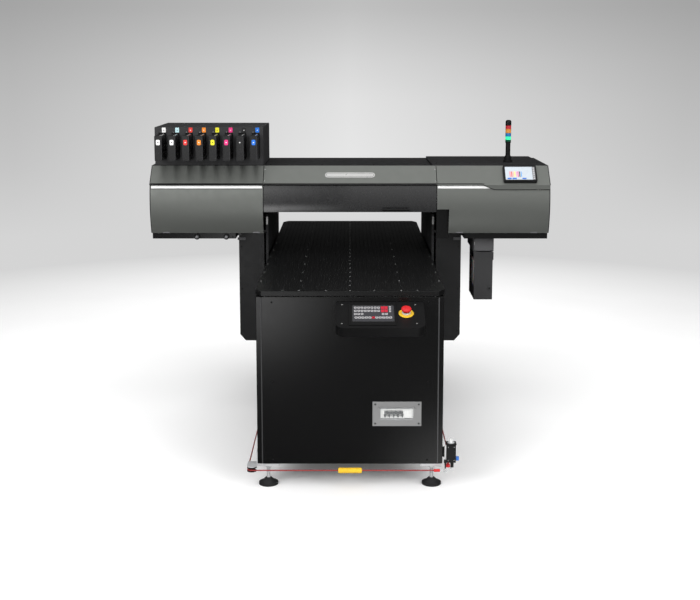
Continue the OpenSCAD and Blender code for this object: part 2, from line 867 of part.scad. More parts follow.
// Hinge arm that reaches forward from the upper covers and carries a cover's hinge pin
module hinge_arm(x) {
    back_y = hinge_y + 34;
    arm_w = 5;
    arm_top = slope_z0 + (back_y - hy) * slope_h / slope_d - 2;
    rod_x(x - hinge_ear_w / 2 - 2, x + hinge_ear_w / 2 + 3, hinge_y, hinge_z, hinge_pin_r);
    translate([x + hinge_ear_w / 2 + 1, 0, 0]) {
        block([0, hinge_y, hinge_z - 4], [arm_w, back_y + 8, hinge_z + 4]);
        rod_x(0, arm_w, hinge_y, hinge_z, 4);
        block([0, back_y, hinge_z - 4], [arm_w, back_y + 8, arm_top]);
    }
}

// Ear on a cover's inner face with the bore for a hinge pin
module hinge_ear(x) {
    difference() {
        union() {
            rod_x(x - hinge_ear_w / 2, x + hinge_ear_w / 2, hinge_y, hinge_z, hinge_ear_r);
            block(
                [x - hinge_ear_w / 2, hinge_y - 9.5, hinge_z - 8],
                [x + hinge_ear_w / 2, hinge_y, hinge_z]
            );
        }
        rod_x(x - hinge_ear_w, x + hinge_ear_w, hinge_y, hinge_z, hinge_pin_r + pin_gap);
    }
}

module upper_covers() {
    lower_in = sheet_t / sin(slope_a);
    upper_in = sheet_t / cos(slope_a);
    z1 = slope_z0;
    color("#54575a") {
        for (x = [[-end_in, -side_cover_x0], [-centre_x, centre_x], [side_cover_x0, end_in]])
            across(x[0], x[1]) polygon([
                [hy, z1], [top_y0, top_z], [top_y0, top_z - upper_in], [hy + lower_in, z1]
            ]);
        along(hy, hy + sheet_t) polygon(concat(step_edge(z1), [[end_in, z1 - step_h], [end_in, z1]]));
        both_sides() for (x = side_hinge_xs) hinge_arm(x);
        for (x = [-centre_hinge_x, centre_hinge_x]) hinge_arm(x);
    }
}

lid_x0 = centre_x - 18;
lid_x1 = end_in - 23;
lid_rise = 8;

module top_covers() {
    z0 = top_z - sheet_t;
    color("#232427") {
        block([-end_in, top_y0, z0], [-side_cover_x0, top_y1, top_z]);
        block([-centre_x, top_y0, z0], [lid_x0 - seam, top_y1, top_z]);
        block([lid_x1 + 0.5, top_y0, z0], [end_in, top_y1, top_z]);
        difference() {
            block([lid_x0, top_y0, z0], [lid_x1, top_y1, top_z + lid_rise]);
            block(
                [lid_x0 + sheet_t, top_y0 + sheet_t, z0 - cut],
                [lid_x1 - sheet_t, top_y1 - sheet_t, top_z + lid_rise - sheet_t]
            );
        }
    }
}

module rear_and_end_covers() {
    rear_z = top_z - rear_drop;
    t = sheet_t;
    color("#1e1f21") {
        difference() {
            across(-end_in + 0.2, end_in - 0.2) polygon([
                [top_y1, top_z], [rear_y, rear_z], [rear_y, side_z0], [rear_y - t, side_z0],
                [rear_y - t, rear_z - t], [top_y1, top_z - t]
            ]);
            block(
                [-side_cover_x0, rear_y - 2 * t, side_z0 - cut],
                [side_cover_x0, rear_y + cut, cover_z0]
            );
        }
        both_sides() across(end_in, end_x) {
            intersection() {
                translate([barrel_y, barrel_z]) circle(barrel_r, $fn = 180);
                translate([hy - cut, side_z0]) square([90, slope_z0 - side_z0]);
            }
            polygon([
                [hy + 60, side_z0], [hy + 60, slope_z0 - 5], [hy + 12.5, slope_z0 - groove],
                [hy, slope_z0], [top_y0, top_z], [top_y1, top_z], [rear_y, rear_z],
                [rear_y, side_z0]
            ]);
        }
    }
}

tray_y0 = hy + 39;

module trays() {
    color("#151617") both_sides() difference() {
        block([leg_x1 + 4, tray_y0, tray_z0], [end_in, rear_y - sheet_t - 1, side_z0]);
        block(
            [leg_x1 + 4 + sheet_t, tray_y0 + sheet_t, tray_z0 + sheet_t],
            [end_in - sheet_t, rear_y - 2 * sheet_t - 1, side_z0 + cut]
        );
    }
}

function cartridge_x(i) = bay_x + (i - (cartridges - 1) / 2) * cartridge_pitch;

module ink_rack() {
    color("#1d1e20") difference() {
        block([rack_x0, top_y0, top_z], [rack_x1, rack_y1, top_z + rack_h]);
        for (i = [0:cartridges - 1]) block(
            [cartridge_x(i) - cartridge_w / 2 - bay_gap, top_y0 - cut, bay_z0 - bay_gap],
            [
                cartridge_x(i) + cartridge_w / 2 + bay_gap,
                top_y0 - cartridge_out + cartridge_l + 2,
                bay_z0 + cartridge_h + bay_gap
            ]
        );
    }
}

module cartridge(i) {
    y0 = top_y0 - cartridge_out;
    color("#26272a") translate([cartridge_x(i), 0, bay_z0]) {
        translate([0, y0 + cartridge_l, 0]) rotate([90, 0, 0]) linear_extrude(cartridge_l)
            polygon(rounded(-cartridge_w / 2, 0, cartridge_w / 2, cartridge_h, 4, 3));
    }
}

touch_w = 158;
touch_h = 94;
touch_t = 14;
touch_x = end_in - 138;

module touch_panel() {
    color("#1a1b1d") translate([touch_x, hy + slope_d / 2, slope_z0 + slope_h / 2])
        rotate([slope_a, 0, 0]) linear_extrude(touch_t)
        polygon(rounded(-touch_w / 2, -touch_h / 2, touch_w / 2, touch_h / 2, 6));
}

tower_x = end_in - 178;
tower_y = top_y0 + 86;
tower_z = top_z + lid_rise;
lamp_r = 14;
lamp_z = tower_z + 100;
lamp_hs = [24, 17, 19, 17];
lamp_gap = 0.3;

module tower_pole() {
    color("#1a1b1d") translate([tower_x, tower_y, tower_z]) {
        cylinder(h = 10, r = 22);
        translate([0, 0, 10]) cylinder(h = 16, r = 18);
        translate([0, 0, 26]) cylinder(h = lamp_z - tower_z - 26, r = 11.5);
    }
}

function lamp_base(i) = i == 0 ? lamp_z : lamp_base(i - 1) + lamp_hs[i - 1];

module tower_lamps() {
    lamp_colours = ["lime", "royalblue", "orange", "red"];
    for (i = [0:3]) color(lamp_colours[i]) translate([tower_x, tower_y, lamp_base(i)])
        cylinder(h = lamp_hs[i] - lamp_gap, r = lamp_r);
    color("black") translate([tower_x, tower_y, lamp_base(4)]) {
        cylinder(h = 21, r = lamp_r);
        translate([0, 0, 21]) cylinder(h = 6, r1 = lamp_r, r2 = lamp_r - 5);
    }
}

// ---------------------------------------------------------------- waste ink

bracket_z1 = tray_z0;
bracket_z0 = bracket_z1 - bracket_h;
lip = 12;
runner_gap = 0.8;

module waste_bracket() {
    x0 = waste_x - bracket_w / 2;
    x1 = waste_x + bracket_w / 2;
    color("#77797c") difference() {
        block([x0, waste_y0, bracket_z0], [x1, waste_y0 + bracket_l, bracket_z1]);
        block(
            [x0 + wall, waste_y0 - cut, bracket_z0 + wall],
            [x1 - wall, waste_y0 + bracket_l - wall, bracket_z1 - wall]
        );
        block(
            [x0 + lip, waste_y0 - cut, bracket_z0 - cut],
            [x1 - lip, waste_y0 + bracket_l - wall, bracket_z0 + 2 * wall]
        );
    }
}

module bottle_tray() {
    x0 = waste_x - bottle_tray_w / 2;
    x1 = waste_x + bottle_tray_w / 2;
    y0 = waste_y0;
    y1 = waste_y0 + bottle_tray_l;
    z1 = bracket_z0 - 2;
    z0 = z1 - bottle_tray_h;
    runner_z = bracket_z0 + wall + runner_gap;
    slot_x = bracket_w / 2 - lip - runner_gap;
    color("#404246") {
        difference() {
            block([x0, y0, z0], [x1, y1, z1]);
            block([x0 + wall, y0 + wall, z0 + wall], [x1 - wall, y1 - wall, z1 - wall]);
            block([x0 - cut, y0 + 12, z0 + 63], [x0 + 2 * wall, y1 - 12, z1 - 12]);
        }
        for (s = [-1, 1]) {
            xs = [waste_x + s * (slot_x - wall), waste_x + s * slot_x];
            xf = [waste_x + s * (slot_x - wall), waste_x + s * (bracket_w / 2 - wall - runner_gap)];
            block([min(xs), y0, z1 - 1], [max(xs), y1, runner_z + 3]);
            block([min(xf), y0, runner_z], [max(xf), y1, runner_z + 3]);
        }
        block([x0 - 3.5, y0, bracket_z0 - 2 - 40], [x1 + 3.5, y0 + 2, z1]);
    }
}

module waste_bottle() {
    x0 = waste_x - bottle_tray_w / 2 + 6;
    x1 = waste_x + bottle_tray_w / 2 - 6;
    z0 = bracket_z0 - 2 - bottle_tray_h + wall;
    color("white") {
        translate([0, 0, z0]) linear_extrude(180)
            polygon(rounded(x0, waste_y0 + 8, x1, waste_y0 + bottle_tray_l - 8, 12, 3));
        translate([waste_x, waste_y0 + 70, z0 + 179]) cylinder(h = 24, r = 19);
    }
}

// ---------------------------------------------------------------- inside the housing

module capping_station() {
    y0 = hy + 79;
    color("#3a3c3f") {
        block([park_x - 80, y0, tray_z0 + sheet_t], [park_x + 80, y0 + 120, head_z0 - 13]);
        for (x = [-44, 0, 44]) block(
            [park_x + x - 17, y0 + 10, head_z0 - 13], [park_x + x + 17, y0 + 110, head_z0 - 3]
        );
    }
}

module carriage() {
    x0 = park_x - carriage_w / 2;
    x1 = park_x + carriage_w / 2;
    belt_y = axle_y - belt_in - belt_t / 2;
    color("#5a5c60") difference() {
        union() {
            block([x0, carriage_y - 12, head_z0 + 5], [x1, carriage_y, belt_z0 + 24]);
            block([x0 + 40, hy + 69, head_z0 + 20], [x1 - 40, carriage_y - 12 + cut, beam_z1 + 20]);
            for (x = [x0 + 5, x1 - 65], z = x_rail_zs)
                block([x, carriage_y - cut, z - 21], [x + 60, beam_y0 - 2, z + 21]);
            block(
                [park_x - 30, carriage_y - cut, belt_z0 + belt_h + 2],
                [park_x + 30, belt_y + 6, belt_z0 + 24]
            );
            block([park_x - 30, belt_y - 6, belt_z0 - 2], [park_x + 30, belt_y + 6, belt_z0 + 24]);
        }
        for (z = x_rail_zs) block(
            [x0 - cut, beam_y0 - x_rail_d - rail_gap, z - rail_w / 2 - rail_gap],
            [x1 + cut, beam_y0, z + rail_w / 2 + rail_gap]
        );
        block(
            [x0 - cut, belt_y - belt_t / 2 - rail_gap, belt_z0 - 4],
            [x1 + cut, belt_y + belt_t / 2 + rail_gap, belt_z0 + belt_h + rail_gap]
        );
    }
}

module heads_and_lamps() {
    color("#2c2e33") {
        for (x = [-44, 0, 44], y = [hy + 84, hy + 144]) block(
            [park_x + x - 17, y, head_z0], [park_x + x + 17, y + 46, head_z0 + 20]
        );
        for (s = [-1, 1]) translate([park_x + s * (carriage_w / 2 - 20), 0, 0])
            block([-19.8, hy + 89, head_z0 + 5], [19.8, carriage_y - 12, beam_z1]);
    }
}

module drive_belt() {
    r = belt_in;
    color("black") translate([0, axle_y, belt_z0]) {
        for (y = [-r - belt_t, r]) block([-axle_x, y, 0], [axle_x, y + belt_t, belt_h]);
        for (s = [0, 180]) rotate([0, 0, s]) translate([axle_x, 0, 0]) rotate([0, 0, -90])
            rotate_extrude(angle = 180) translate([r, 0]) square([belt_t, belt_h]);
    }
}

module belt_pulley(x) {
    color("silver") translate([x, axle_y, belt_z0 - 1]) difference() {
        cylinder(h = belt_h + 2, r = belt_r);
        translate([0, 0, -cut]) cylinder(h = belt_h + 2 + 2 * cut, r = axle_r + pin_gap);
    }
}

// ---------------------------------------------------------------- hinged covers

// Barrel-shaped sheet across the housing's front
module barrel_sheet(x0, x1, z0, z1) {
    across(x0, x1) intersection() {
        translate([barrel_y, barrel_z]) difference() {
            circle(barrel_r, $fn = 180);
            circle(barrel_r - sheet_t, $fn = 180);
        }
        translate([hy - cut, z0]) square([120, z1 - z0]);
    }
}

module front_cover() {
    x = centre_x - 0.5;
    color("#303235") {
        barrel_sheet(-x, x, cover_z0, cover_z1);
        for (h = [-centre_hinge_x, centre_hinge_x]) hinge_ear(h);
    }
}

handle_x0 = centre_x - 257;
handle_w = 129;
handle_z = cover_z0 + 14;
handle_out = 22;

module front_cover_handle() {
    y = hy - handle_out;
    color("black") {
        rod_x(handle_x0, handle_x0 + handle_w, y, handle_z, 6);
        for (x = [handle_x0 + 9, handle_x0 + handle_w - 9]) rod_y(y, hy + 0.2, x, handle_z, 5);
    }
}

module lower_cover_left() {
    color("#4a4d50") {
        barrel_sheet(-end_in + 0.5, -side_cover_x0, side_z0, cover_z1);
        for (x = side_hinge_xs) hinge_ear(-x);
    }
}

module lower_cover_right() {
    color("#4a4d50") {
        intersection() {
            barrel_sheet(side_cover_x0, end_in - 0.5, side_z0, cover_z1);
            along(hy - 5, hy + 100) difference() {
                polygon(concat(
                    [[end_in, side_z0 - cut], [side_cover_x0 - cut, side_z0 - cut]],
                    [[side_cover_x0 - cut, cover_z1]],
                    step_edge(cover_z1), [[end_in, cover_z1 - step_h]]
                ));
                translate([side_cover_x0 - 2 * cut, side_z0 - 2 * cut]) square([57 + 2 * cut, 119]);
            }
        }
        for (x = side_hinge_xs) hinge_ear(x);
    }
}

bed_frame();
foot_stems();
foot_pads();
corner_trims();
front_panel();
side_and_rear_panels();
vacuum_table();
vacuum_plenum();
vacuum_blower();
y_guideways();
console_housing();
estop_button();
breaker_bezel();
breaker_flap();
breaker_bank();
breaker_lever();
switch_body();
switch_test_button();
switch_reset_knob();
safety_rope();
rope_handle();
rope_fittings();
pulley_brackets();
rope_pulley();
saddle_plates();
bearing_blocks();
lift_screws();
side_plates();
leg_covers();
gantry_beam();
x_rails();
upper_covers();
top_covers();
rear_and_end_covers();
trays();
ink_rack();
cartridge(0);  // cartridge_1
cartridge(1);  // cartridge_2
cartridge(2);  // cartridge_3
cartridge(3);  // cartridge_4
cartridge(4);  // cartridge_5
cartridge(5);  // cartridge_6
cartridge(6);  // cartridge_7
cartridge(7);  // cartridge_8
touch_panel();
tower_pole();
tower_lamps();
waste_bracket();
bottle_tray();
waste_bottle();
capping_station();
front_cover();
front_cover_handle();
lower_cover_left();
lower_cover_right();
carriage();
heads_and_lamps();
drive_belt();
belt_pulley(-axle_x);  // belt_pulley_left
belt_pulley(axle_x);  // belt_pulley_right
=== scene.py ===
"""Finishes, small parts, light and camera for the moving-gantry flatbed inkjet printer.

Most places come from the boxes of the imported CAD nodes, and the rest are given in the CAD frame.
Lengths are in millimetres, and Shape.build() turns them into metres.
"""
import json
import math

import bmesh
import bpy
from mathutils import Matrix, Vector


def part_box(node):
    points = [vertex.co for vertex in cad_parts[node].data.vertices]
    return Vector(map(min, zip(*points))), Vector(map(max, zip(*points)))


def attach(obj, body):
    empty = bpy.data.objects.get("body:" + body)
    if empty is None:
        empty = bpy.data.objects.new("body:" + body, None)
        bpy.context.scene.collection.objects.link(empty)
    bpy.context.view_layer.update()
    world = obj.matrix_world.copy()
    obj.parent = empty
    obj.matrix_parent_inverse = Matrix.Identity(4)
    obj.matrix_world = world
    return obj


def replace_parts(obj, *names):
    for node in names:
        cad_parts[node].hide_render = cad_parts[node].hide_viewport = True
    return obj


MM = 0.001
SIDES = ((-1, "left"), (1, "right"))
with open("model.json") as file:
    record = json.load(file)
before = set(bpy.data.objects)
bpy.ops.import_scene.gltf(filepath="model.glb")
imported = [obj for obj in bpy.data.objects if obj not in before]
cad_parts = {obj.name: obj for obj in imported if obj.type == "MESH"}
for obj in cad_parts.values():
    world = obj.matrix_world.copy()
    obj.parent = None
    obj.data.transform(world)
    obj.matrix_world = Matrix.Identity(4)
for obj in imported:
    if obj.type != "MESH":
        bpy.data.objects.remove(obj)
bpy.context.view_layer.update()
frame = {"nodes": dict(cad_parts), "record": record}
SLOT_OF = {row["node"]: row["material_slot"] for row in frame["record"]["subparts"]}


# ---------------------------------------------------------------- finishes


class Graph:
    """The node tree of a material or a world."""

    def __init__(self, owner, empty=True):
        owner.use_nodes = True
        self.tree = owner.node_tree
        if empty:
            self.tree.nodes.clear()

    def feed(self, socket, value):
        """Links an input to another socket, or sets it to a plain value."""
        if isinstance(value, bpy.types.NodeSocket):
            self.tree.links.new(value, socket)
        else:
            socket.default_value = value

    def node(self, kind, inputs=None, **settings):
        """A new node. inputs holds a socket or a value for each input, by its name or index."""
        node = self.tree.nodes.new("ShaderNode" + kind)
        for key, value in settings.items():
            setattr(node, key, value)
        for key, value in (inputs or {}).items():
            self.feed(node.inputs[key], value)
        return node

    def noise(self, source, scale, detail=3.0):
        inputs = {"Vector": source, "Scale": scale, "Detail": detail}
        return self.node("TexNoise", inputs).outputs["Fac"]

    def ranged(self, source, low, high, from_low=0.3, from_high=0.7):
        """A value carried over from one range to another."""
        inputs = {"Value": source, "From Min": from_low, "From Max": from_high,
                  "To Min": low, "To Max": high}
        return self.node("MapRange", inputs).outputs["Result"]

    def calculate(self, operation, *values):
        return self.node("Math", dict(enumerate(values)), operation=operation).outputs["Value"]

    def mix(self, factor, first, second):
        """A Mix Shader of two shaders."""
        return self.node("MixShader", {0: factor, 1: first, 2: second}).outputs[0]

    def ramp(self, source, stops):
        """A colour ramp given as (position, colour) pairs."""
        node = self.node("ValToRGB", {"Fac": source})
        elements = node.color_ramp.elements
        for _ in stops[2:]:
            elements.new(0.5)
        for element, (position, colour) in zip(elements, stops):
            element.position, element.color = position, (*colour, 1)
        return node.outputs["Color"]

    def graded(self, source, stops):
        """A grey ramp given as (value, tone) pairs."""
        first, last = stops[0][0], stops[-1][0]
        share = self.ranged(source, 0, 1, first, last)
        return self.ramp(share, [((v - first) / (last - first), (tone,) * 3) for v, tone in stops])


FINISH = {}


def finish(name, colour, rough, metal=0.0, mottle=0.08, patch=4.0, grain=700.0, bump=0.15,
           relief=0.1, gloss_patches=0.06, brushed=(1, 1, 1), **constants):
    """Adds a surface with slow changes of colour and gloss, and fine grain in its relief.

    mottle is how far the colour strays, patch and grain are texture scales per metre, relief is the
    grain's depth in millimetres, and brushed stretches the grain along one axis.
    """
    FINISH[name] = material = bpy.data.materials.new(name)
    graph = Graph(material, empty=False)
    place = graph.node("TexCoord").outputs["Object"]
    stretched = graph.node("Mapping", {"Vector": place, "Scale": brushed}).outputs["Vector"]
    tones = [[min(1.0, c * k) for c in colour] for k in (1 - mottle, 1 + mottle)]
    fine = graph.noise(stretched, grain, 2.0)
    dent = graph.node("Bump", {"Strength": bump, "Distance": relief * MM, "Height": fine})
    values = {
        "Base Color": graph.ramp(graph.noise(place, patch), list(zip((0.3, 0.7), tones))),
        "Roughness": graph.ranged(graph.noise(place, patch * 7), rough - gloss_patches,
                                  rough + gloss_patches),
        "Normal": dent.outputs["Normal"],
        "Metallic": metal,
    }
    for key, value in constants.items():
        values[key.replace("_", " ").title().replace("Ior", "IOR")] = value
    shader = graph.tree.nodes["Principled BSDF"]
    for key, value in values.items():
        graph.feed(shader.inputs[key], value)
    return material


def grey(level, blue=1.04):
    return (level, level, level * blue)


METAL = dict(mottle=0.06, gloss_patches=0.05, anisotropic=0.3)

# One finish for each material slot of the CAD model
finish("frame_paint", grey(0.10), 0.5, grain=900)
finish("black_paint", grey(0.003), 0.22, grain=1300, bump=0.02, gloss_patches=0.012, mottle=0.04)
finish("table_black", grey(0.0045), 0.34, grain=260, bump=0.02, relief=0.05, gloss_patches=0.02)
finish("grey_paint", (0.225, 0.235, 0.220), 0.40, 0.72, grain=1600, bump=0.10, mottle=0.02)
finish("dark_cover", grey(0.020), 0.55, grain=1200, bump=0.14, specular_ior_level=0.3)
finish("smoked_cover", grey(0.017), 0.26, grain=300, bump=0.02, mottle=0.05,
       coat_weight=1.0, coat_roughness=0.12)
finish("light_grey_paint", grey(0.085), 0.5)
finish("mid_grey_paint", grey(0.034), 0.5)
finish("steel", (0.58, 0.58, 0.57), 0.26, 0.75, grain=900, bump=0.1, brushed=(0.05, 1, 1), **METAL)
finish("zinc", (0.66, 0.67, 0.68), 0.32, 0.35, grain=400, bump=0.08, **METAL)
finish("aluminium_plate", (0.52, 0.53, 0.54), 0.38, 0.7, grain=700, bump=0.1,
       brushed=(0.03, 1, 1), **METAL)
finish("black_rubber", grey(0.018), 0.72, grain=500, bump=0.3)
finish("black_plastic", grey(0.006), 0.38, grain=1400, bump=0.15, specular_ior_level=0.35)
finish("cartridge_black", grey(0.013), 0.26, grain=1200, bump=0.06)
finish("red_plastic", (0.62, 0.018, 0.022), 0.28, bump=0.04, coat_weight=0.3)
finish("yellow_plastic", (0.82, 0.52, 0.03), 0.34, bump=0.06)
finish("blue_plastic", (0.05, 0.20, 0.66), 0.32, bump=0.05)
finish("white_plastic", (0.78, 0.78, 0.76), 0.45, mottle=0.02, bump=0.06)
finish("bottle_plastic", (0.66, 0.67, 0.64), 0.42, bump=0.1, subsurface_weight=0.25)
finish("clear_plastic", (0.85, 0.88, 0.90), 0.16, bump=0.02, gloss_patches=0.03, alpha=0.07)
finish("rope_red", (0.30, 0.03, 0.03), 0.4, grain=900, bump=0.1)
finish("lamp_plastic", (0.10, 0.45, 0.25), 0.25, bump=0.03)
finish("belt_rubber", grey(0.02), 0.65, bump=0.3)
finish("bezel_grey", grey(0.21, 1.0), 0.42, bump=0.1, mottle=0.05)

# Finishes of single nodes and small parts
NODE_FINISH = {
    "leg_covers": finish("leg_paint", grey(0.011), 0.40, bump=0.06, grain=1300),
    "ink_rack": finish("rack_paint", grey(0.034), 0.5, bump=0.12, grain=1200,
                       specular_ior_level=0.4),
}
HOLE = finish("hole_shadow", grey(0.0015), 0.8)
# Deep black for small black parts and marks; on the groove strips and the rack slot strips it is
# painted shade.
DEEP_BLACK_AND_SHADE = finish("deep_black_and_painted_shade", grey(0.004), 0.6)
# A grey for thin edges that catch light: painted highlight on the panel's right edge and the
# cartridges' right edges; the screen line and the table's plugs take it too.
EDGE_LIGHT = finish("edge_light", grey(0.055), 0.4, bump=0.05)
TAB_GREY = finish("tab_grey", grey(0.13), 0.4, bump=0.06)
SILVER_PRINT_AND_HIGHLIGHT = finish("silver_print_and_highlight", (0.55, 0.55, 0.54), 0.32, metal=0.4, bump=0.02)
# Pale grey for printed numbers and the switch strip; on the table's screw heads it is a painted
# glint.
PALE_GREY_AND_GLINT = finish("pale_grey_plastic_and_glint", grey(0.45, 1.0), 0.45, bump=0.08)
LABEL = {
    ink: finish(f"label_{ink}", colour, rough, mottle=mottle, bump=0.04)
    for ink, colour, rough, mottle in (
        ("white", (0.86, 0.86, 0.85), 0.5, 0.02), ("ice", (0.55, 0.80, 0.84), 0.5, 0.03),
        ("red", (0.72, 0.045, 0.04), 0.45, 0.04), ("orange", (0.88, 0.27, 0.03), 0.45, 0.04),
        ("yellow", (0.86, 0.80, 0.03), 0.45, 0.04), ("magenta", (0.80, 0.04, 0.22), 0.45, 0.04),
        ("black", grey(0.012), 0.4, 0.08), ("blue", (0.02, 0.17, 0.66), 0.45, 0.04),
    )
}


def glow(name, colour, strength, rough=0.3):
    """A lit screen or lens: its own colour shines a little. On the console's keys, which are no
    lamps, the glow is painted light.
    """
    return finish(name, colour, rough, mottle=0.03, bump=0.02, emission_color=(*colour, 1),
                  emission_strength=strength)


# ---------------------------------------------------------------- places and shapes


class Box:
    """A CAD node's box at rest, in millimetres."""

    def __init__(self, node):
        (self.x0, self.y0, self.z0), (self.x1, self.y1, self.z1) = (
            [c / MM for c in corner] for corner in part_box(node)
        )
        self.x, self.y = (self.x0 + self.x1) / 2, (self.y0 + self.y1) / 2
        self.z = (self.z0 + self.z1) / 2


def axes(x, y, z, origin):
    """A local frame whose axes point along x, y and z."""
    place = Matrix((x, y, z)).transposed().to_4x4()
    place.translation = origin
    return place


def on_top(*at):
    return axes((1, 0, 0), (0, 1, 0), (0, 0, 1), at)


def on_front(*at):
    return axes((1, 0, 0), (0, 0, 1), (0, -1, 0), at)


def on_back(*at):
    return axes((-1, 0, 0), (0, 0, 1), (0, 1, 0), at)


def on_side(side, *at):
    """A frame on the right (side 1) or the left (side -1), looking out along X."""
    return axes((0, side, 0), (0, 0, 1), (side, 0, 0), at)


def on_slope(angle, *at):
    """A frame on a face that rises to the back by angle: X across, Y up the slope, Z out."""
    c, s = math.cos(angle), math.sin(angle)
    return axes((1, 0, 0), (0, c, s), (0, -s, c), at)


def rounded(x0, x1, y0, y1, r, steps=5):
    """Outline of a rectangle with rounded corners."""
    if r <= 0:
        return [(x0, y0), (x1, y0), (x1, y1), (x0, y1)]
    corners = ((x1 - r, y1 - r, 0), (x0 + r, y1 - r, 90), (x0 + r, y0 + r, 180),
               (x1 - r, y0 + r, 270))
    turns = [(x, y, math.radians(start + 90 * i / steps))
             for x, y, start in corners for i in range(steps + 1)]
    return [(x + r * math.cos(a), y + r * math.sin(a)) for x, y, a in turns]


def round_outline(r, sides, turn=0.0):
    angles = [turn + math.tau * i / sides for i in range(sides)]
    return [(r * math.cos(a), r * math.sin(a)) for a in angles]


def add_object(name, data):
    """A new object in the scene."""
    thing = bpy.data.objects.new(name, data)
    bpy.context.scene.collection.objects.link(thing)
    return thing


class Shape:
    """Gathers closed solids in millimetres. at() sets the local frame for what is added next."""

    def __init__(self, place=None):
        self.verts, self.faces, self.place = [], [], place or Matrix()

    def at(self, place):
        self.place = place
        return self

    def add(self, verts, faces):
        start = len(self.verts)
        self.verts += [self.place @ Vector(v) for v in verts]
        self.faces += [[start + i for i in face] for face in faces]
        return self

    def prism(self, outline, z0, z1, shrink=1.0):
        """An outline pulled from z0 to z1, where it is scaled by shrink."""
        n = len(outline)
        verts = [(x, y, z0) for x, y in outline]
        verts += [(x * shrink, y * shrink, z1) for x, y in outline]
        walls = [(i, (i + 1) % n, n + (i + 1) % n, n + i) for i in range(n)]
        return self.add(verts, [list(range(n))[::-1], list(range(n, 2 * n))] + walls)

    def plate(self, x0, x1, y0, y1, z0, z1, r=0.0):
        return self.prism(rounded(x0, x1, y0, y1, r), z0, z1)

    def frame(self, x0, x1, y0, y1, width, z0, z1, r=0.0):
        """A picture frame of the given width."""
        outer = rounded(x0, x1, y0, y1, max(r, 0.01))
        inner = rounded(x0 + width, x1 - width, y0 + width, y1 - width, max(r - width, 0.01))
        n = len(outer)
        verts = [(x, y, z) for ring in (outer, inner) for z in (z0, z1) for x, y in ring]
        faces = []
        for i in range(n):
            j = (i + 1) % n
            for a, b in ((0, n), (n, 3 * n), (3 * n, 2 * n), (2 * n, 0)):
                faces.append([a + i, a + j, b + j, b + i])
        return self.add(verts, faces)

    def lathe(self, profile, sides=32, closed=False):
        """Turns (radius, height) points about the local Z axis. A closed profile makes a ring."""
        verts, rings = [], []
        for r, z in profile:
            count = 1 if r == 0 else sides
            rings.append([len(verts) + i % count for i in range(sides)])
            verts += [(*p, z) for p in (round_outline(r, sides) if r else [(0, 0)])]
        faces = []
        for low, high in zip(rings, rings[1:] + rings[:1] if closed else rings[1:]):
            for i in range(sides):
                j = (i + 1) % sides
                face = list(dict.fromkeys((low[i], low[j], high[j], high[i])))
                if len(face) > 2:
                    faces.append(face)
        return self.add(verts, faces)

    def tube(self, path, radius, sides=12, strands=0, lay=30.0):
        """A flat path's round tube, with strands twisted like a rope's, one turn in lay mm."""
        verts, run = [], 0.0
        for i, point in enumerate(path):
            ahead = (path[min(i + 1, len(path) - 1)] - path[max(i - 1, 0)]).normalized()
            across = ahead.cross(Vector((0, 0, 1)))
            run += (point - path[i - 1]).length if i else 0.0
            for k in range(sides):
                a = math.tau * k / sides
                twist = strands * (a + math.tau * run / lay)
                groove = 0.12 * (1 - math.cos(twist)) / 2 if strands else 0.0
                r = radius * (1 - groove)
                verts.append(point + across * r * math.cos(a) + Vector((0, 0, r * math.sin(a))))
        n = len(path)
        faces = [
            [i * sides + k, i * sides + (k + 1) % sides, (i + 1) * sides + (k + 1) % sides,
             (i + 1) * sides + k]
            for i in range(n - 1) for k in range(sides)
        ]
        ends = [list(range(sides)), list(range((n - 1) * sides, n * sides))]
        return self.add(verts, faces + ends)

    def sheet(self, front, back):
        """A thin closed solid between two grids of points with the same rows and columns."""
        rows, cols = len(front), len(front[0])
        n = rows * cols
        faces = [
            [s + r * cols + c, s + r * cols + c + 1, s + (r + 1) * cols + c + 1,
             s + (r + 1) * cols + c]
            for s in (0, n) for r in range(rows - 1) for c in range(cols - 1)
        ]
        rim = list(range(cols)) + [r * cols + cols - 1 for r in range(1, rows)]
        rim += [(rows - 1) * cols + c for c in range(cols - 2, -1, -1)]
        rim += [r * cols for r in range(rows - 2, 0, -1)]
        faces += [[a, b, n + b, n + a] for a, b in zip(rim, rim[1:] + rim[:1])]
        return self.add([p for grid in (front, back) for row in grid for p in row], faces)

    def build(self, name, body, slot=None, material=None, bevel=0.0):
        """Makes one Blender object of everything added, riding on body."""
        mesh = bpy.data.meshes.new(name)
        mesh.from_pydata([v * MM for v in self.verts], [], self.faces)
        work = bmesh.new()
        work.from_mesh(mesh)
        bmesh.ops.recalc_face_normals(work, faces=work.faces)
        work.to_mesh(mesh)
        work.free()
        mesh.materials.append(material or FINISH[slot])
        piece = add_object(name, mesh)
        shade(piece, bevel)
        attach(piece, body)
        return piece


def plate(name, place, size, body, slot=None, material=None, bevel=0.0):
    """A piece that is one plate: size is x0, x1, y0, y1, z0, z1 and the corner radius."""
    return Shape(place).plate(*size).build(name, body, slot, material, bevel)


def shade(piece, bevel, weld=False):
    """Smooth shading with rounded edges, or with sharp ones where bevel is 0."""
    mesh = piece.data
    mesh.polygons.foreach_set("use_smooth", [True] * len(mesh.polygons))
    if not bevel:
        mesh.set_sharp_from_angle(angle=math.radians(35))
        return
    if weld:
        piece.modifiers.new("weld", "WELD").merge_threshold = 1e-6
    rounding = piece.modifiers.new("rounded_edges", "BEVEL")
    rounding.width = bevel * MM
    rounding.segments = 2
    rounding.limit_method = "ANGLE"
    rounding.angle_limit = math.radians(32)
    rounding.harden_normals = True


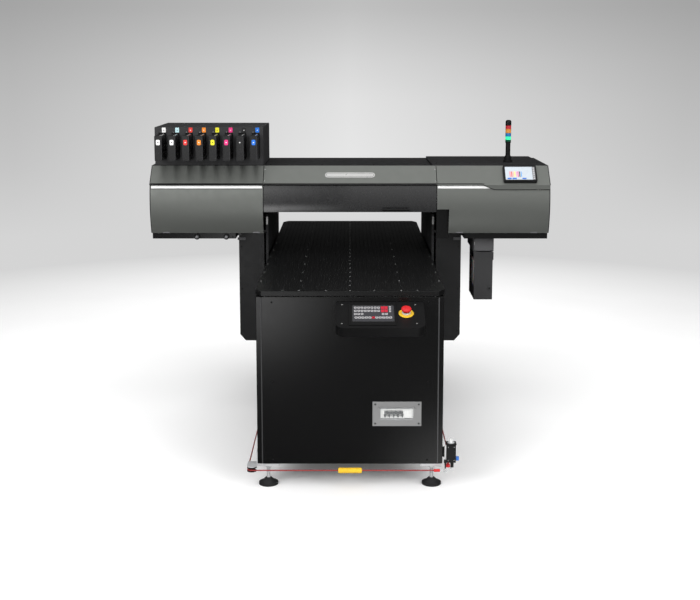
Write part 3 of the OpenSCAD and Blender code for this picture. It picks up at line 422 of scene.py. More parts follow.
def screws(name, places, r, body, slot="steel", material=None, drop=0.0):
    """Button-head screws with a hexagon socket, one at each local frame."""
    heads, sockets = Shape(), Shape()
    for place in places:
        h = r * 0.45
        heads.at(place).lathe([(0, -0.5), (r, -0.5), (r, h * 0.35 - drop),
                               (r * 0.8, h * 0.8 - drop), (r * 0.5, h - drop), (0, h - drop)], 20)
        sockets.at(place).prism(round_outline(r * 0.42, 6), 0, h - drop + 0.12)
    heads.build(name, body, slot, material)
    sockets.build(name + "_sockets", body, slot, HOLE)


def louvres(name, place, width, height, pitch, body, slot="black_paint", stand=3.0):
    """Pressed louvres: hooded slats that stand out of the sheet, each over a dark slot."""
    hoods, gaps = Shape(place), Shape(place)
    for i in range(int(height / pitch)):
        y = -height / 2 + pitch * (i + 0.5)
        lip = y - pitch * 0.22
        front, back = (
            [[(x, y + pitch * top, z), (x, crown, out), (x, lip, out)]
             for x in (-width / 2, width / 2)]
            for top, z, crown, out in ((0.30, 0.2, y, stand), (0.22, -0.4, y - 1, stand - 1))
        )
        hoods.sheet(front, back)
        gaps.plate(-width / 2 + 1, width / 2 - 1, y - pitch * 0.34, y - pitch * 0.05, -0.4, 0.3)
    hoods.build(name, body, slot)
    gaps.build(name + "_slots", body, slot, HOLE)


def grid(x0, x1, nx, y0, y1, ny):
    """nx by ny evenly spaced points."""
    return [
        (x0 + (x1 - x0) * i / max(nx - 1, 1), y0 + (y1 - y0) * j / max(ny - 1, 1))
        for i in range(nx) for j in range(ny)
    ]


SEGMENTS = {1: "bc", 2: "abged", 3: "abgcd", 4: "fgbc", 5: "afgcd", 6: "afgedc", 7: "abc",
            8: "abcdefg"}


def digit(shape, number, x, y, h):
    """A plain seven-segment number, h high, on the local XY plane."""
    w, t = h * 0.5, h * 0.09
    bars = {"a": (-w, w, h, h), "g": (-w, w, 0, 0), "d": (-w, w, -h, -h), "b": (w, w, 0, h),
            "c": (w, w, -h, 0), "f": (-w, -w, 0, h), "e": (-w, -w, -h, 0)}
    for key in SEGMENTS[number]:
        xa, xb, ya, yb = (k / 2 for k in bars[key])
        shape.plate(x + xa - t, x + xb + t, y + ya - t, y + yb + t, -0.3, 0.25)


# ---------------------------------------------------------------- CAD nodes

EDGE_RADIUS = {
    "vacuum_table": 1.2, "front_panel": 1.4, "corner_trims": 2.0, "console_housing": 2.5,
    "breaker_bezel": 1.0, "leg_covers": 2.5, "upper_covers": 1.2, "top_covers": 1.5,
    "rear_and_end_covers": 2.0, "trays": 2.0, "ink_rack": 3.0, "touch_panel": 2.5,
    "side_plates": 1.5, "gantry_beam": 2.0, "waste_bracket": 1.5, "bottle_tray": 1.2,
    "waste_bottle": 4.0, "front_cover": 1.0, "lower_cover_left": 1.2, "lower_cover_right": 1.2,
    "carriage": 2.0, "bed_frame": 4.0, "foot_pads": 2.0,
}


def dress_cad_nodes():
    """Gives every CAD node its finish and rounded edges."""
    for node, piece in frame["nodes"].items():
        mesh = piece.data
        if "custom_normal" in mesh.attributes:
            mesh.attributes.remove(mesh.attributes["custom_normal"])
        mesh.materials.clear()
        mesh.materials.append(NODE_FINISH.get(node, FINISH[SLOT_OF[node]]))
        radius = 2.5 if node.startswith("cartridge_") else EDGE_RADIUS.get(node, 0.6)
        shade(piece, radius, weld=True)


# ---------------------------------------------------------------- cabinet and table


def table_details():
    """Suction holes in a fine grid, and the countersunk screws that hold the plate."""
    table = Box("vacuum_table")
    pitch, row_pitch, margin = 20, 12, 25
    length = table.y1 - table.y0
    columns = int((table.x1 - table.x0 - 2 * margin) / pitch)
    rows = int((length - 3 * margin) / row_pitch)
    first_row = table.y0 + 2 * margin
    holes = Shape()
    for x, y in grid(-columns * pitch / 2, columns * pitch / 2, columns + 1,
                     first_row, first_row + rows * row_pitch, rows + 1):
        holes.at(on_top(x, y, table.z1)).prism(round_outline(2.4, 8), -1, 0.06)
    holes.build("table_holes", "bed", "table_black", HOLE)

    first, run = table.y0 + 18, length - 36
    places = [on_top(0, first + i * run / 20, table.z1) for i in range(21)]
    places += [on_top(x, first + i * run / 10, table.z1) for i in range(11)
               for x in (-376, -207, 207, 376) if 0 < i < 10 or abs(x) < 300]
    places += [on_top(x, first, table.z1) for x in (-273, -99, 99, 273)]
    # The screw heads are pale diffuse grey: a painted glint in place of the zinc's reflection.
    screws("table_screws", places, 3.8, "bed", "zinc", PALE_GREY_AND_GLINT, drop=1.2)
    pairs = [on_top(side * x + dx, table.y0 + 125 + i * 205, table.z1) for i in range(9)
             for side in (-1, 1) for x in ((344, 118) if i % 2 else (344,)) for dx in (-6, 6)]
    screws("table_plugs", pairs, 3.0, "bed", "zinc", EDGE_LIGHT, drop=0.9)


def panel_details():
    """Screws of the front, side and rear panels, their louvres, and the services at the rear."""
    panel, bed, rear = Box("front_panel"), Box("bed_frame"), Box("side_and_rear_panels")
    low, high = panel.z0 + 17, panel.z1 - 22
    places = [on_front(x, panel.y0, z) for x, z in grid(-317, 317, 2, low, high, 3)]
    screws("panel_screws", places, 4, "bed", "black_paint", DEEP_BLACK_AND_SHADE)
    # Thin strips down the panel's side edges are painted highlights, darker on the left and lighter
    # on the right.
    for (side, word), tone in zip(SIDES, (FINISH["mid_grey_paint"], EDGE_LIGHT)):
        x = side * (panel.x1 + 2)
        plate(f"panel_edge_highlight_{word}", on_front(0, panel.y0, 0),
              (x - 2.5, x + 2.5, panel.z0 + 1, panel.z1 - 3, -0.5, 0.9, 1), "bed", "zinc", tone)
    places = [on_back(x, rear.y1, z) for x, z in grid(-325, 325, 4, low, high, 3)]
    for side, word in SIDES:
        x = side * (bed.x1 - 60.2)
        for end, y in (("front", bed.y0 + 560), ("rear", bed.y1 - 560)):
            louvres(f"side_louvres_{end}_{word}", on_side(side, x, y, 590), 320, 130, 13, "bed")
        for z0, z1 in ((185, 445), (560, 680)):
            places += [on_side(side, x, y, z)
                       for y, z in grid(bed.y0 + 90, bed.y1 - 90, 6, z0, z1, 2)]
    screws("panel_rim_screws", places, 4, "bed", "black_paint")
    for side, word in SIDES:
        louvres(f"rear_louvres_{word}", on_back(side * 190, rear.y1, 640), 220, 156, 13, "bed")

    z = 250
    hatch = on_back(0, rear.y1, z)
    plate("rear_service_plate", hatch, (-90, 90, -45, 45, -0.5, 2, 4), "bed", "zinc", bevel=0.5)
    inlet = Shape(hatch).plate(-72, -18, -24, 24, 1, 8, 3)
    for x in (-20, -60):
        inlet.at(on_back(x, rear.y1, z)).lathe([(0, 1), (14, 1), (14, 6), (11, 8), (0, 8)], 24)
    inlet.build("rear_inlet_and_glands", "bed", "black_plastic", bevel=0.6)
    plate("rear_inlet_socket", hatch, (-62, -28, -13, 13, 7, 8.4, 5), "bed", "black_plastic", HOLE)
    places = [on_back(x, rear.y1 + 2, z + dz) for x, dz in grid(-80, 80, 2, -35, 35, 2)]
    screws("rear_service_screws", places, 3, "bed")


def feet_details():
    """Threads on the levelling stems, and the bolts of their plates."""
    pads = Box("foot_pads")
    foot_x, ys = pads.x1 - 40, (pads.y0 + 40, pads.y, pads.y1 - 40)
    bottom, top, pitch = 28, 72, 2
    turns = (top - bottom) // pitch
    rings = [(r, bottom + pitch * i + z) for i in range(turns)
             for r, z in ((6.9, 0), (7.6, 0.8), (7.6, 1.2))]
    thread = Shape()
    for x in (-foot_x, foot_x):
        for y in ys:
            thread.at(on_top(x, y, 0)).lathe([(0, bottom), *rings, (0, top)], 20)
    thread.build("foot_threads", "bed", "zinc")
    bolts = [
        axes((1, 0, 0), (0, -1, 0), (0, 0, -1), (side * (foot_x + dx), y + dy, 88))
        for side in (-1, 1) for y in ys for dx in (-40, 22) for dy in (-28, 28)
    ]
    screws("foot_plate_bolts", bolts, 5, "bed", "zinc")


def console_details():
    """Display with its generic keys, the stop button, and the console's screws."""
    console, panel = Box("console_housing"), Box("front_panel")
    back_y, back_z, reach, drop = panel.y0 - 4, Box("vacuum_table").z1 - 42, 168, 68
    angle = math.atan2(drop, reach)

    def on_face(x, down):
        """A frame on the sloped face, down is the distance from its upper edge."""
        return on_slope(angle, x, back_y - down * math.cos(angle), back_z - down * math.sin(angle))

    face = on_face(0, 0)
    Shape(face).frame(-6, 184, -164, -12, 7, -0.5, 3.2, 5).build(
        "console_frame", "bed", "black_plastic", bevel=0.8)
    plate("console_plate", face, (1, 177, -157, -19, -0.5, 1.4, 2), "bed", "black_plastic", DEEP_BLACK_AND_SHADE)
    Shape(face).frame(9, 175, -139, -29, 1.2, 1, 2.1, 3).build(
        "console_screen_line", "bed", "zinc", EDGE_LIGHT)
    glass = glow("console_glass", (0.045, 0.045, 0.05), 0.1, 0.2)
    plate("console_screen", face, (11, 173, -137, -31, 1, 1.9, 2), "bed", "black_plastic", glass)
    light, red, dark = Shape(face), Shape(face), Shape(face)

    def key(shape, x, down, w=10.6, h=12.5):
        shape.plate(x, x + w, -down - h / 2, -down + h / 2, 1.5, 2.6, 3.2)
        dark.plate(x + w * 0.28, x + w * 0.72, -down - h * 0.16, -down + h * 0.16, 1.5, 2.75, 0.8)

    for x, count, down in ((16, 8, 45), (16, 8, 67), (16, 3, 89), (126, 2, 89)):
        for i in range(count):
            key(light, x + 13.2 * i, down)
    for i in range(11):
        key(red if i == 5 else light, 18 + 13.6 * i, 113, 12)
    for x, down in ((123, 45), (137, 45), (123, 67), (137, 67)):
        red.plate(x, x + 13, -down - 9, -down + 9, 1.5, 2.5, 1.5)
    for i in range(4):
        light.plate(155, 163, -42 - 11 * i, -35 - 11 * i, 1.5, 2.4, 1)
    # The keys are no lamps: their faint glow is painted light.
    light.build("console_keys", "bed", "white_plastic", glow("key_painted_glow", (0.42, 0.41, 0.42), 0.06))
    red.build("console_red_keys", "bed", "red_plastic", glow("key_red_painted_glow", (0.50, 0.02, 0.04), 0.08))
    dark.build("console_key_marks", "bed", "black_plastic", DEEP_BLACK_AND_SHADE)

    places = [on_face(x, down) for x in (-32, console.x1 - 34) for down in (20, 150)]
    screws("console_screws", places, 3.2, "bed")
    stop = on_face(console.x1 - 73, 82)
    collar = [(13, -0.5), (30, -0.5), (30, 1.6), (29, 2.4), (16, 2.4), (13, 2.4)]
    Shape(stop).lathe(collar, 48, closed=True).build("estop_collar", "bed", "yellow_plastic")
    sleeve = [(13.9, 2), (17, 2), (17, 5), (15.2, 6.5), (15.2, 9.6), (13.9, 9.9)]
    Shape(stop).lathe(sleeve, 40, closed=True).build("estop_sleeve", "bed", "zinc")
    head = [(0, -16), (8, -16), (8, 14), (13, 15), (17.5, 15.6), (19.6, 17), (20, 19), (20, 22),
            (19.4, 24.2), (17.6, 26), (14, 27.2), (8, 27.85), (0, 28)]
    mushroom = Shape(stop).lathe(head, 48).build("estop_mushroom", "estop", "red_plastic")
    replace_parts(mushroom, "estop_button")


def breaker_details():
    """Screws of the breaker window, the blank modules beside the breakers, and the flap's grip."""
    bezel, bank, flap = Box("breaker_bezel"), Box("breaker_bank"), Box("breaker_flap")
    module, half_h = 18, 20.5
    places = [on_front(x, Box("front_panel").y0 - 4, z)
              for x, z in grid(bezel.x0 + 11, bezel.x1 - 11, 2, bezel.z0 + 11, bezel.z1 - 11, 2)]
    screws("bezel_screws", places, 3.6, "bed", "black_plastic", DEEP_BLACK_AND_SHADE)
    blanks = Shape(on_front(bank.x1, bank.y0, bank.z))
    for x0, x1 in ((0.4, 17.6), (18.0, 35.2), (-102, -90.5)):
        blanks.plate(x0, x1, -half_h, half_h, -30, 0, 1)
    blanks.build("breaker_blanks", "bed", "white_plastic", bevel=0.5)
    toggles, joints = (Shape(on_front(bank.x0, bank.y0, bank.z)) for _ in range(2))
    for i in range(5):
        x = module * (i + 0.5)
        toggles.prism([(x - 5, -4), (x - 3, -17), (x + 3, -17), (x + 5, -4)], -1, 0.2)
    toggles.build("breaker_toggles", "bed", "black_plastic", DEEP_BLACK_AND_SHADE)
    for i in range(1, 5):
        joints.plate(module * i - 0.3, module * i + 0.3, -half_h, half_h, -0.3, 0.15)
    joints.build("breaker_joints", "bed", "white_plastic", DEEP_BLACK_AND_SHADE)
    plate("flap_grip", on_front(flap.x, flap.y0, flap.z0), (-13, 13, 0.5, 4.5, -1.8, 1.2, 1),
          "window_flap", "clear_plastic")


def rope_details():
    """The twisted rope right round the cabinet, its grip and ferrule, and the switch's lamp."""
    run, fit, switch = Box("safety_rope"), Box("rope_fittings"), Box("switch_body")
    front_y = Box("front_panel").y0
    radius, bend, step = 2.75, 17.0, 8.0
    x0, x1, y0, y1 = run.x0 + radius, run.x1 - radius, run.y0 + radius, run.y1 - radius

    def straight(a, b):
        a, b = Vector((*a, run.z)), Vector((*b, run.z))
        n = int((b - a).length / step)
        return [a.lerp(b, i / n) for i in range(n)]

    def corner(x, y, start):
        angles = [math.radians(start - 10 * i) for i in range(9)]
        return [Vector((x + bend * math.cos(a), y + bend * math.sin(a), run.z)) for a in angles]

    end = (x1, front_y + 24)
    path = straight((fit.x0, y0), (x0 + bend, y0)) + corner(x0 + bend, y0 + bend, 270)
    path += straight((x0, y0 + bend), (x0, y1 - bend)) + corner(x0 + bend, y1 - bend, 180)
    path += straight((x0 + bend, y1), (x1 - bend, y1)) + corner(x1 - bend, y1 - bend, 90)
    path += straight((x1, y1 - bend), end) + [Vector((*end, run.z))]
    rope = Shape().tube(path, radius, 12, strands=3, lay=36).build("rope", "bed", "rope_red")
    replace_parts(rope, "safety_rope")

    handle, bore = Box("rope_handle"), 3.05
    half, big = (handle.x1 - handle.x0) / 2, (handle.z1 - handle.z0) / 2
    profile = [(bore, -half), (big - 3, -half), (big - 0.8, -half + 1.2), (big, -half + 4)]
    for i in range(9):
        x = -half + 12 + i * (2 * half - 24) / 8
        profile += [(big, x - 2.2), (big - 0.9, x - 1.2), (big - 0.9, x + 1.2), (big, x + 2.2)]
    profile += [(big, half - 4), (big - 0.8, half - 1.2), (big - 3, half), (bore, half)]
    along = axes((0, 1, 0), (0, 0, 1), (1, 0, 0), (handle.x, handle.y, handle.z))
    grip = Shape(along).lathe(profile, 32, closed=True).build("rope_grip", "bed", "yellow_plastic")
    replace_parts(grip, "rope_handle")
    along = axes((0, 1, 0), (0, 0, 1), (1, 0, 0), (fit.x0, y0, run.z))
    ferrule = [(2.5, -1), (5.4, -1), (5.9, 1), (5.9, 22), (5.4, 24), (2.5, 24)]
    Shape(along).lathe(ferrule, 24, closed=True).build("rope_ferrule", "bed", "red_plastic")

    lamp = on_top(switch.x1 - 21, front_y, switch.z1)
    Shape(lamp).lathe([(0, -0.5), (14.5, -0.5), (14.5, 2.5), (13.5, 3.5), (0, 3.5)], 32).build(
        "lamp_seat", "bed", "zinc")
    Shape(lamp).lathe([(0, 3), (7, 3), (7, 13), (5, 16), (0, 16.5)], 24).build(
        "lamp_bulb", "bed", "white_plastic")
    outer = [(13 * math.cos(a), 11 + 12.5 * math.sin(a))
             for a in map(math.radians, range(0, 90, 15))]
    inner = [(radius * 0.9, 11 + (z - 11) * 0.9) for radius, z in outer]
    dome = [(0, 22.2), *inner[::-1], (11.7, 3), (13, 3), *outer, (0, 23.5)]
    Shape(lamp).lathe(dome, 32).build("lamp_dome", "bed", "clear_plastic")
    y = front_y - 18
    Shape(on_front(switch.x0 + 10, y + 1, switch.z0)).plate(
        -3.5, 3.5, 14, switch.z1 - switch.z0 - 4, -3, 0, 1).build(
        "switch_strip", "bed", "zinc", PALE_GREY_AND_GLINT, bevel=0.4)
    x, z = switch.x1 - 21, 150
    places = [on_front(x + dx, y, z + dz) for dz in (-28, 28) for dx in (-12, 12)]
    screws("switch_screws", places, 2.4, "bed", "zinc")
    plate("switch_lid", on_front(x, y, z), (-15, 15, -33, 33, -0.5, 0.9, 3),
          "bed", "black_plastic", bevel=0.4)
    knob = Box("switch_reset_knob")
    plate("reset_ridge", on_side(1, knob.x1, knob.y, knob.z), (-1.6, 1.6, -8, 8, -6, 0, 0.8),
          "reset_knob", "blue_plastic", bevel=0.4)


# ---------------------------------------------------------------- gantry


COVER_RUN = 81  # depth of the gantry's sloped covers


def cover_slope():
    """Height of the sloped covers' foot, their rise, and their angle."""
    foot = Box("lower_cover_left").z1 + 4
    rise = Box("top_covers").z1 - 8 - foot
    return foot, rise, math.atan2(rise, COVER_RUN)


def barrel_point(x, z, out):
    """A point on the lower covers' barrel face, moved out of it by the given length."""
    cover = Box("lower_cover_left")
    radius, centre_z = 350.0, cover.z0 + 137
    a = math.asin((z - centre_z) / radius)
    return (x, cover.y0 + radius - (radius + out) * math.cos(a),
            centre_z + (radius + out) * math.sin(a))


def stripe(name, body, x0, x1, bottom, top_at, material, out=0.35):
    """A stripe on the barrel face: printed, and for the grey band under the left stripe a painted
    crease shade. top_at gives its upper edge at each X.
    """
    columns, rows = 40, 3
    layers = []
    for depth in (out, -0.4):
        layers.append([
            [barrel_point(x, bottom + (max(top_at(x), bottom + 0.4) - bottom) * r / rows, depth)
             for r in range(rows + 1)]
            for x in [x0 + (x1 - x0) * i / columns for i in range(columns + 1)]
        ])
    Shape().sheet(*layers).build(name, body, "white_plastic", material)


def cover_details():
    """White stripes and finger tabs on the lower covers, the blank badge and seam screws."""
    left, right, upper = Box("lower_cover_left"), Box("lower_cover_right"), Box("upper_covers")
    step_x0, step_w, step_h = right.x0 + 210, 69, 21
    top, width = left.z1, 13

    def step_edge(x):
        t = min(max((x - step_x0) / step_w, 0), 1)
        return right.z1 - 0.6 - step_h * (1 - math.cos(math.pi * t)) / 2

    x0, x1 = left.x0 + 2, left.x1 - 4
    stripe("left_stripe", "left_cover", x0, x1, top - width, lambda x: top - 0.6, LABEL["white"])
    # The grey band under the left stripe is painted shade of the crease below it.
    stripe("left_stripe_shade", "left_cover", x0, x1, top - width - 3.5,
           lambda x: top - width - 0.8, FINISH["mid_grey_paint"], 0.25)
    taper = step_x0 + step_w * 0.58
    stripe("right_stripe", "right_cover", right.x0 + 3, taper, top - width, step_edge,
           LABEL["white"])
    for word, xs in (("left", (-876, -446)), ("right", (522, 876))):
        tabs = Shape()
        for x in xs:
            tabs.at(on_front(x, barrel_point(x, left.z0 + 4, 0)[1], left.z0)).prism(
                [(-18, 0.5), (18, 0.5), (14, 6), (-14, 6)], -3, 2.2)
        tabs.build(f"finger_tabs_{word}", f"{word}_cover", "zinc", TAB_GREY, bevel=0.6)

    groove_shade_height = 7
    foot, rise, slope = cover_slope()

    def cover_point(x, z, out):
        """A point on the gantry's front: on the slope, or on the barrel below it."""
        if z <= foot:
            return barrel_point(x, z, out)
        y = left.y0 + (z - foot) * COVER_RUN / rise - out * math.sin(slope)
        return (x, y, z + out * math.cos(slope))

    def level_edge(x):
        return left.z1

    # Dark strips along the foot of the sloped covers, above the lower covers, are painted shade of
    # the groove there.
    for word, x0, x1, edge in (("left", upper.x0 + 1, -411, level_edge),
                               ("middle", -408, 408, level_edge),
                               ("right", 411, upper.x1 - 1, step_edge)):
        xs = [x0 + (x1 - x0) * i / 60 for i in range(61)]
        front, back = ([[cover_point(x, edge(x) + 4.2 + groove_shade_height * k / 2, out) for k in range(3)]
                        for x in xs]
                       for out in (0.5, -0.5))
        Shape().sheet(front, back).build(f"groove_shade_strip_{word}", "head", "black_rubber", DEEP_BLACK_AND_SHADE)
    # A black plate in the notch beside the right lower cover is painted shade: it darkens the
    # notch.
    plate("notch_shade_plate", on_front(0, right.y0 + 36, 0),
          (412, 470, right.z0 - 26, right.z0 + 122, -3, 0), "head", "black_paint", bevel=0.6)
    middle_y, middle_z = left.y0 + COVER_RUN / 2, foot + 43
    badge = on_slope(slope, 0, middle_y, middle_z)
    plate("blank_badge", badge, (-118, 118, -15, 15, -0.5, 1.2, 14),
          "head", "zinc", SILVER_PRINT_AND_HIGHLIGHT, bevel=0.4)
    Shape(badge).frame(-113, 113, -10.5, 10.5, 1.0, 1, 1.45, 10).build(
        "badge_line", "head", "zinc", FINISH["dark_cover"])
    seams = [on_slope(slope, side * 404, middle_y + d * math.cos(slope),
                      middle_z + d * math.sin(slope))
             for side in (-1, 1) for d in (-34, 34)]
    screws("seam_screws", seams, 2.2, "head", "zinc")
    lips = Shape(on_top(0, Box("top_covers").y0, foot + rise))
    for x0, x1 in ((upper.x0 + 1, -413), (-408, 408), (413, upper.x1 - 1)):
        lips.plate(x0, x1, -1.5, 2.5, -2, 0.5)
    lips.build("top_edge_strip", "head", "dark_cover", bevel=0.4)


INKS = ("white", "ice", "red", "orange", "yellow", "magenta", "black", "blue")


def ink_details():
    """Coloured labels, numbers and latches of the ink rack and its cartridges."""
    rack = Box("ink_rack")
    digits, slots = Shape(), Shape()
    for i, ink in enumerate(INKS, 1):
        c = Box(f"cartridge_{i}")
        above = on_front(c.x + 8, rack.y0, rack.z1 - 14)
        plate(f"rack_label_{i}", above, (-9, 9, -11.5, 11.5, -0.5, 0.7, 1.5),
              "head", None, LABEL[ink])
        mark = LABEL["black"] if ink in ("white", "ice", "yellow") else LABEL["white"]
        plate(f"rack_mark_{i}", above, (-2, 2, -3, 1, 0.5, 1.0, 1), "head", None, mark)
        digit(digits.at(on_front(c.x - 11, rack.y0, rack.z1 - 26)), i, 0, 0, 7)
        # A dark strip above each cartridge is painted shade of the slot's gap.
        slots.at(on_front(c.x, rack.y0, c.z1 + 4.5)).plate(-18, 18, -2, 2.5, -0.4, 0.6, 1)
        body = f"ink_{i}"
        front = on_front(c.x, c.y0, c.z1)
        colour = LABEL["white"] if ink == "ice" else LABEL[ink]
        plate(f"cartridge_label_{i}", front, (-9, 9, -44, -19, -0.5, 0.6, 5), body, None, colour)
        plate(f"cartridge_mark_{i}", front, (-3, 3, -34, -29.5, 0.4, 0.95, 2),
              body, None, LABEL["black"] if ink in ("white", "ice") else mark)
        rim = Shape(front).frame(-14.5, 14.5, -115, -4, 1.3, -0.4, 0.8, 3)
        rim.build(f"cartridge_rim_{i}", body, "cartridge_black", bevel=0.3)
        # A lighter strip down the right edge of each cartridge's front is a painted highlight.
        plate(f"cartridge_edge_highlight_{i}", front, (14.6, 16, -112, -6, -0.4, 0.6, 0.6),
              body, "cartridge_black", EDGE_LIGHT)
        top = on_top(c.x + 9.5, c.y0, c.z1)
        # The silver strip along each cartridge's top is partly a steel rail and partly a painted
        # highlight of the top edge.
        plate(f"cartridge_rail_and_highlight_{i}", top, (-1.6, 1.6, 6, 116, -0.5, 1.2, 1),
              body, "steel", SILVER_PRINT_AND_HIGHLIGHT)
        Shape(top).prism([(-17, 4), (-4, 4), (-4, 22), (-17, 22)], -0.5, 2.2).build(
            f"cartridge_latch_{i}", body, "black_plastic", bevel=0.8)
    digits.build("rack_numbers", "head", None, PALE_GREY_AND_GLINT)
    slots.build("rack_slot_shade", "head", "dark_cover", DEEP_BLACK_AND_SHADE)
    rim = Shape(on_front(0, rack.y0, 0))
    rim.plate(rack.x0 + 6, rack.x1 - 22, rack.z1 - 2.4, rack.z1 - 1.2, -0.4, 0.5)
    rim.plate(rack.x1 - 23.2, rack.x1 - 22, rack.z0 + 4, rack.z1 - 2.4, -0.4, 0.5)
    rim.plate(rack.x0 + 3, rack.x1 - 2, rack.z0 + 2.5, rack.z0 + 8, -0.4, 2.2)
    rim.build("rack_rim", "head", "dark_cover", FINISH["mid_grey_paint"])
    louvres("rack_louvres", on_side(-1, rack.x0, rack.y, rack.z), 240, 90, 12, "head", "dark_cover",
            2.5)
    places = [on_side(-1, rack.x0, y, z)
              for y, z in grid(rack.y0 + 20, rack.y1 - 20, 3, rack.z0 + 18, rack.z1 - 18, 2)]
    places += [on_top(x, y, rack.z1 - 1.4)
               for x, y in grid(rack.x0 + 25, rack.x1 - 25, 5, rack.y0 + 22, rack.y1 - 22, 2)]
    screws("rack_screws", places, 3.4, "head", "black_paint", drop=0.2)


def touch_details():
    """The touch panel's lit screen with plain bars and buttons."""
    (foot, rise, slope), depth = cover_slope(), 14
    y = Box("lower_cover_left").y0 + COVER_RUN / 2 - depth * math.sin(slope)
    z = foot + rise / 2 + depth * math.cos(slope)
    face = on_slope(slope, Box("touch_panel").x, y, z)
    Shape(face).frame(-76, 76, -44, 44, 5, -0.5, 1.4, 5).build(
        "touch_frame", "head", "black_plastic", bevel=0.5)
    plate("touch_screen", face, (-70, 58, -38, 38, -0.4, 0.7, 1),
          "head", "white_plastic", glow("screen_white", (0.52, 0.57, 0.62), 0.08, 0.3))
    plate("touch_side_bar", face, (58.5, 71, -38, 38, -0.4, 0.7, 1),
          "head", "white_plastic", glow("screen_grey", (0.20, 0.20, 0.21), 0.05, 0.3))
    strip = Shape(face)
    for i in range(6):
        strip.plate(61.5, 68, 27 - 12 * i, 33 - 12 * i, 0.5, 0.95, 1)
    strip.build("touch_icons", "head", "white_plastic", glow("icon_grey", (0.50, 0.50, 0.52), 0.05))
    tones = ((0.80, 0.25, 0.30), (0.70, 0.10, 0.12), (0.85, 0.45, 0.30), (0.86, 0.78, 0.15),
             (0.85, 0.35, 0.50), (0.70, 0.08, 0.30), (0.04, 0.05, 0.05), (0.12, 0.35, 0.70))
    for i, tone in enumerate(tones):
        bar = Shape(face).plate(-50 + 7.6 * i, -45.5 + 7.6 * i, -22, 10, 0.5, 1.05)
        bar.build(f"touch_bar_{i + 1}", "head", None, glow(f"bar_{i + 1}", tone, 0.05))
    buttons = Shape(face)
    for x0 in (-62, -38, 8):
        buttons.plate(x0, x0 + 20, -35.5, -27.5, 0.5, 1.0, 1.5)
    buttons.build(
        "touch_buttons", "head", "blue_plastic", glow("button_blue", (0.03, 0.14, 0.55), 0.08))


def tower_details():
    """Ribbed lenses of the signal tower, green lit, on a flanged pole."""
    lamps, pole = Box("tower_lamps"), Box("tower_pole")
    column, z = [], lamps.z0
    for name, h, colour in (("base", 9, (0.005, 0.10, 0.05)), ("green", 15, (0.02, 0.62, 0.30)),
                            ("blue", 17, (0.01, 0.16, 0.40)), ("amber", 19, (0.60, 0.24, 0.04)),
                            ("red", 17, (0.45, 0.02, 0.03))):
        profile = [(0, 0), (13.4, 0), (13.9, 0.6)]
        ribs = 6
        for i in range(ribs):
            z0 = 1 + (h - 2.6) * i / ribs
            profile += [(13.9, z0), (13.2, z0 + (h - 2.6) / ribs * 0.5)]
        profile += [(13.9, h - 1.6), (13.9, h - 0.9), (13.4, h - 0.4), (0, h - 0.4)]
        lens = finish(f"lens_{name}", colour, 0.2, mottle=0.04, bump=0.03, coat_weight=0.5,
                      emission_color=(*((0.06, 0.85, 0.33) if name == "green" else colour), 1),
                      emission_strength=0.75 if name == "green" else 0.05)
        column.append(Shape(on_top(lamps.x, lamps.y, z)).lathe(profile, 40).build(
            f"lens_{name}", "head", "lamp_plastic", lens))
        z += h
    cap = Shape(on_top(lamps.x, lamps.y, z)).lathe(
        [(0, 0), (13.9, 0), (14, 1), (14, 18), (13.4, 21), (11, 24.4), (7, 26.4), (0, 27)], 40)
    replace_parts(cap.build("tower_cap", "head", "black_plastic"), "tower_lamps")
    for lens in column:
        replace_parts(lens, "tower_lamps")
    rings = Shape(on_top(lamps.x, lamps.y, pole.z0))
    rings.lathe([(0, -0.2), (22.5, -0.2), (22.5, 3), (21, 5), (0, 5)], 40)
    rings.lathe([(11, 26), (15, 26), (15, 29), (12.5, 32), (11, 32)], 40, closed=True)
    rings.lathe([(11, 92), (13.6, 94), (13.6, 99.8), (11, 99.8)], 40, closed=True)
    rings.build("tower_rings", "head", "black_plastic")


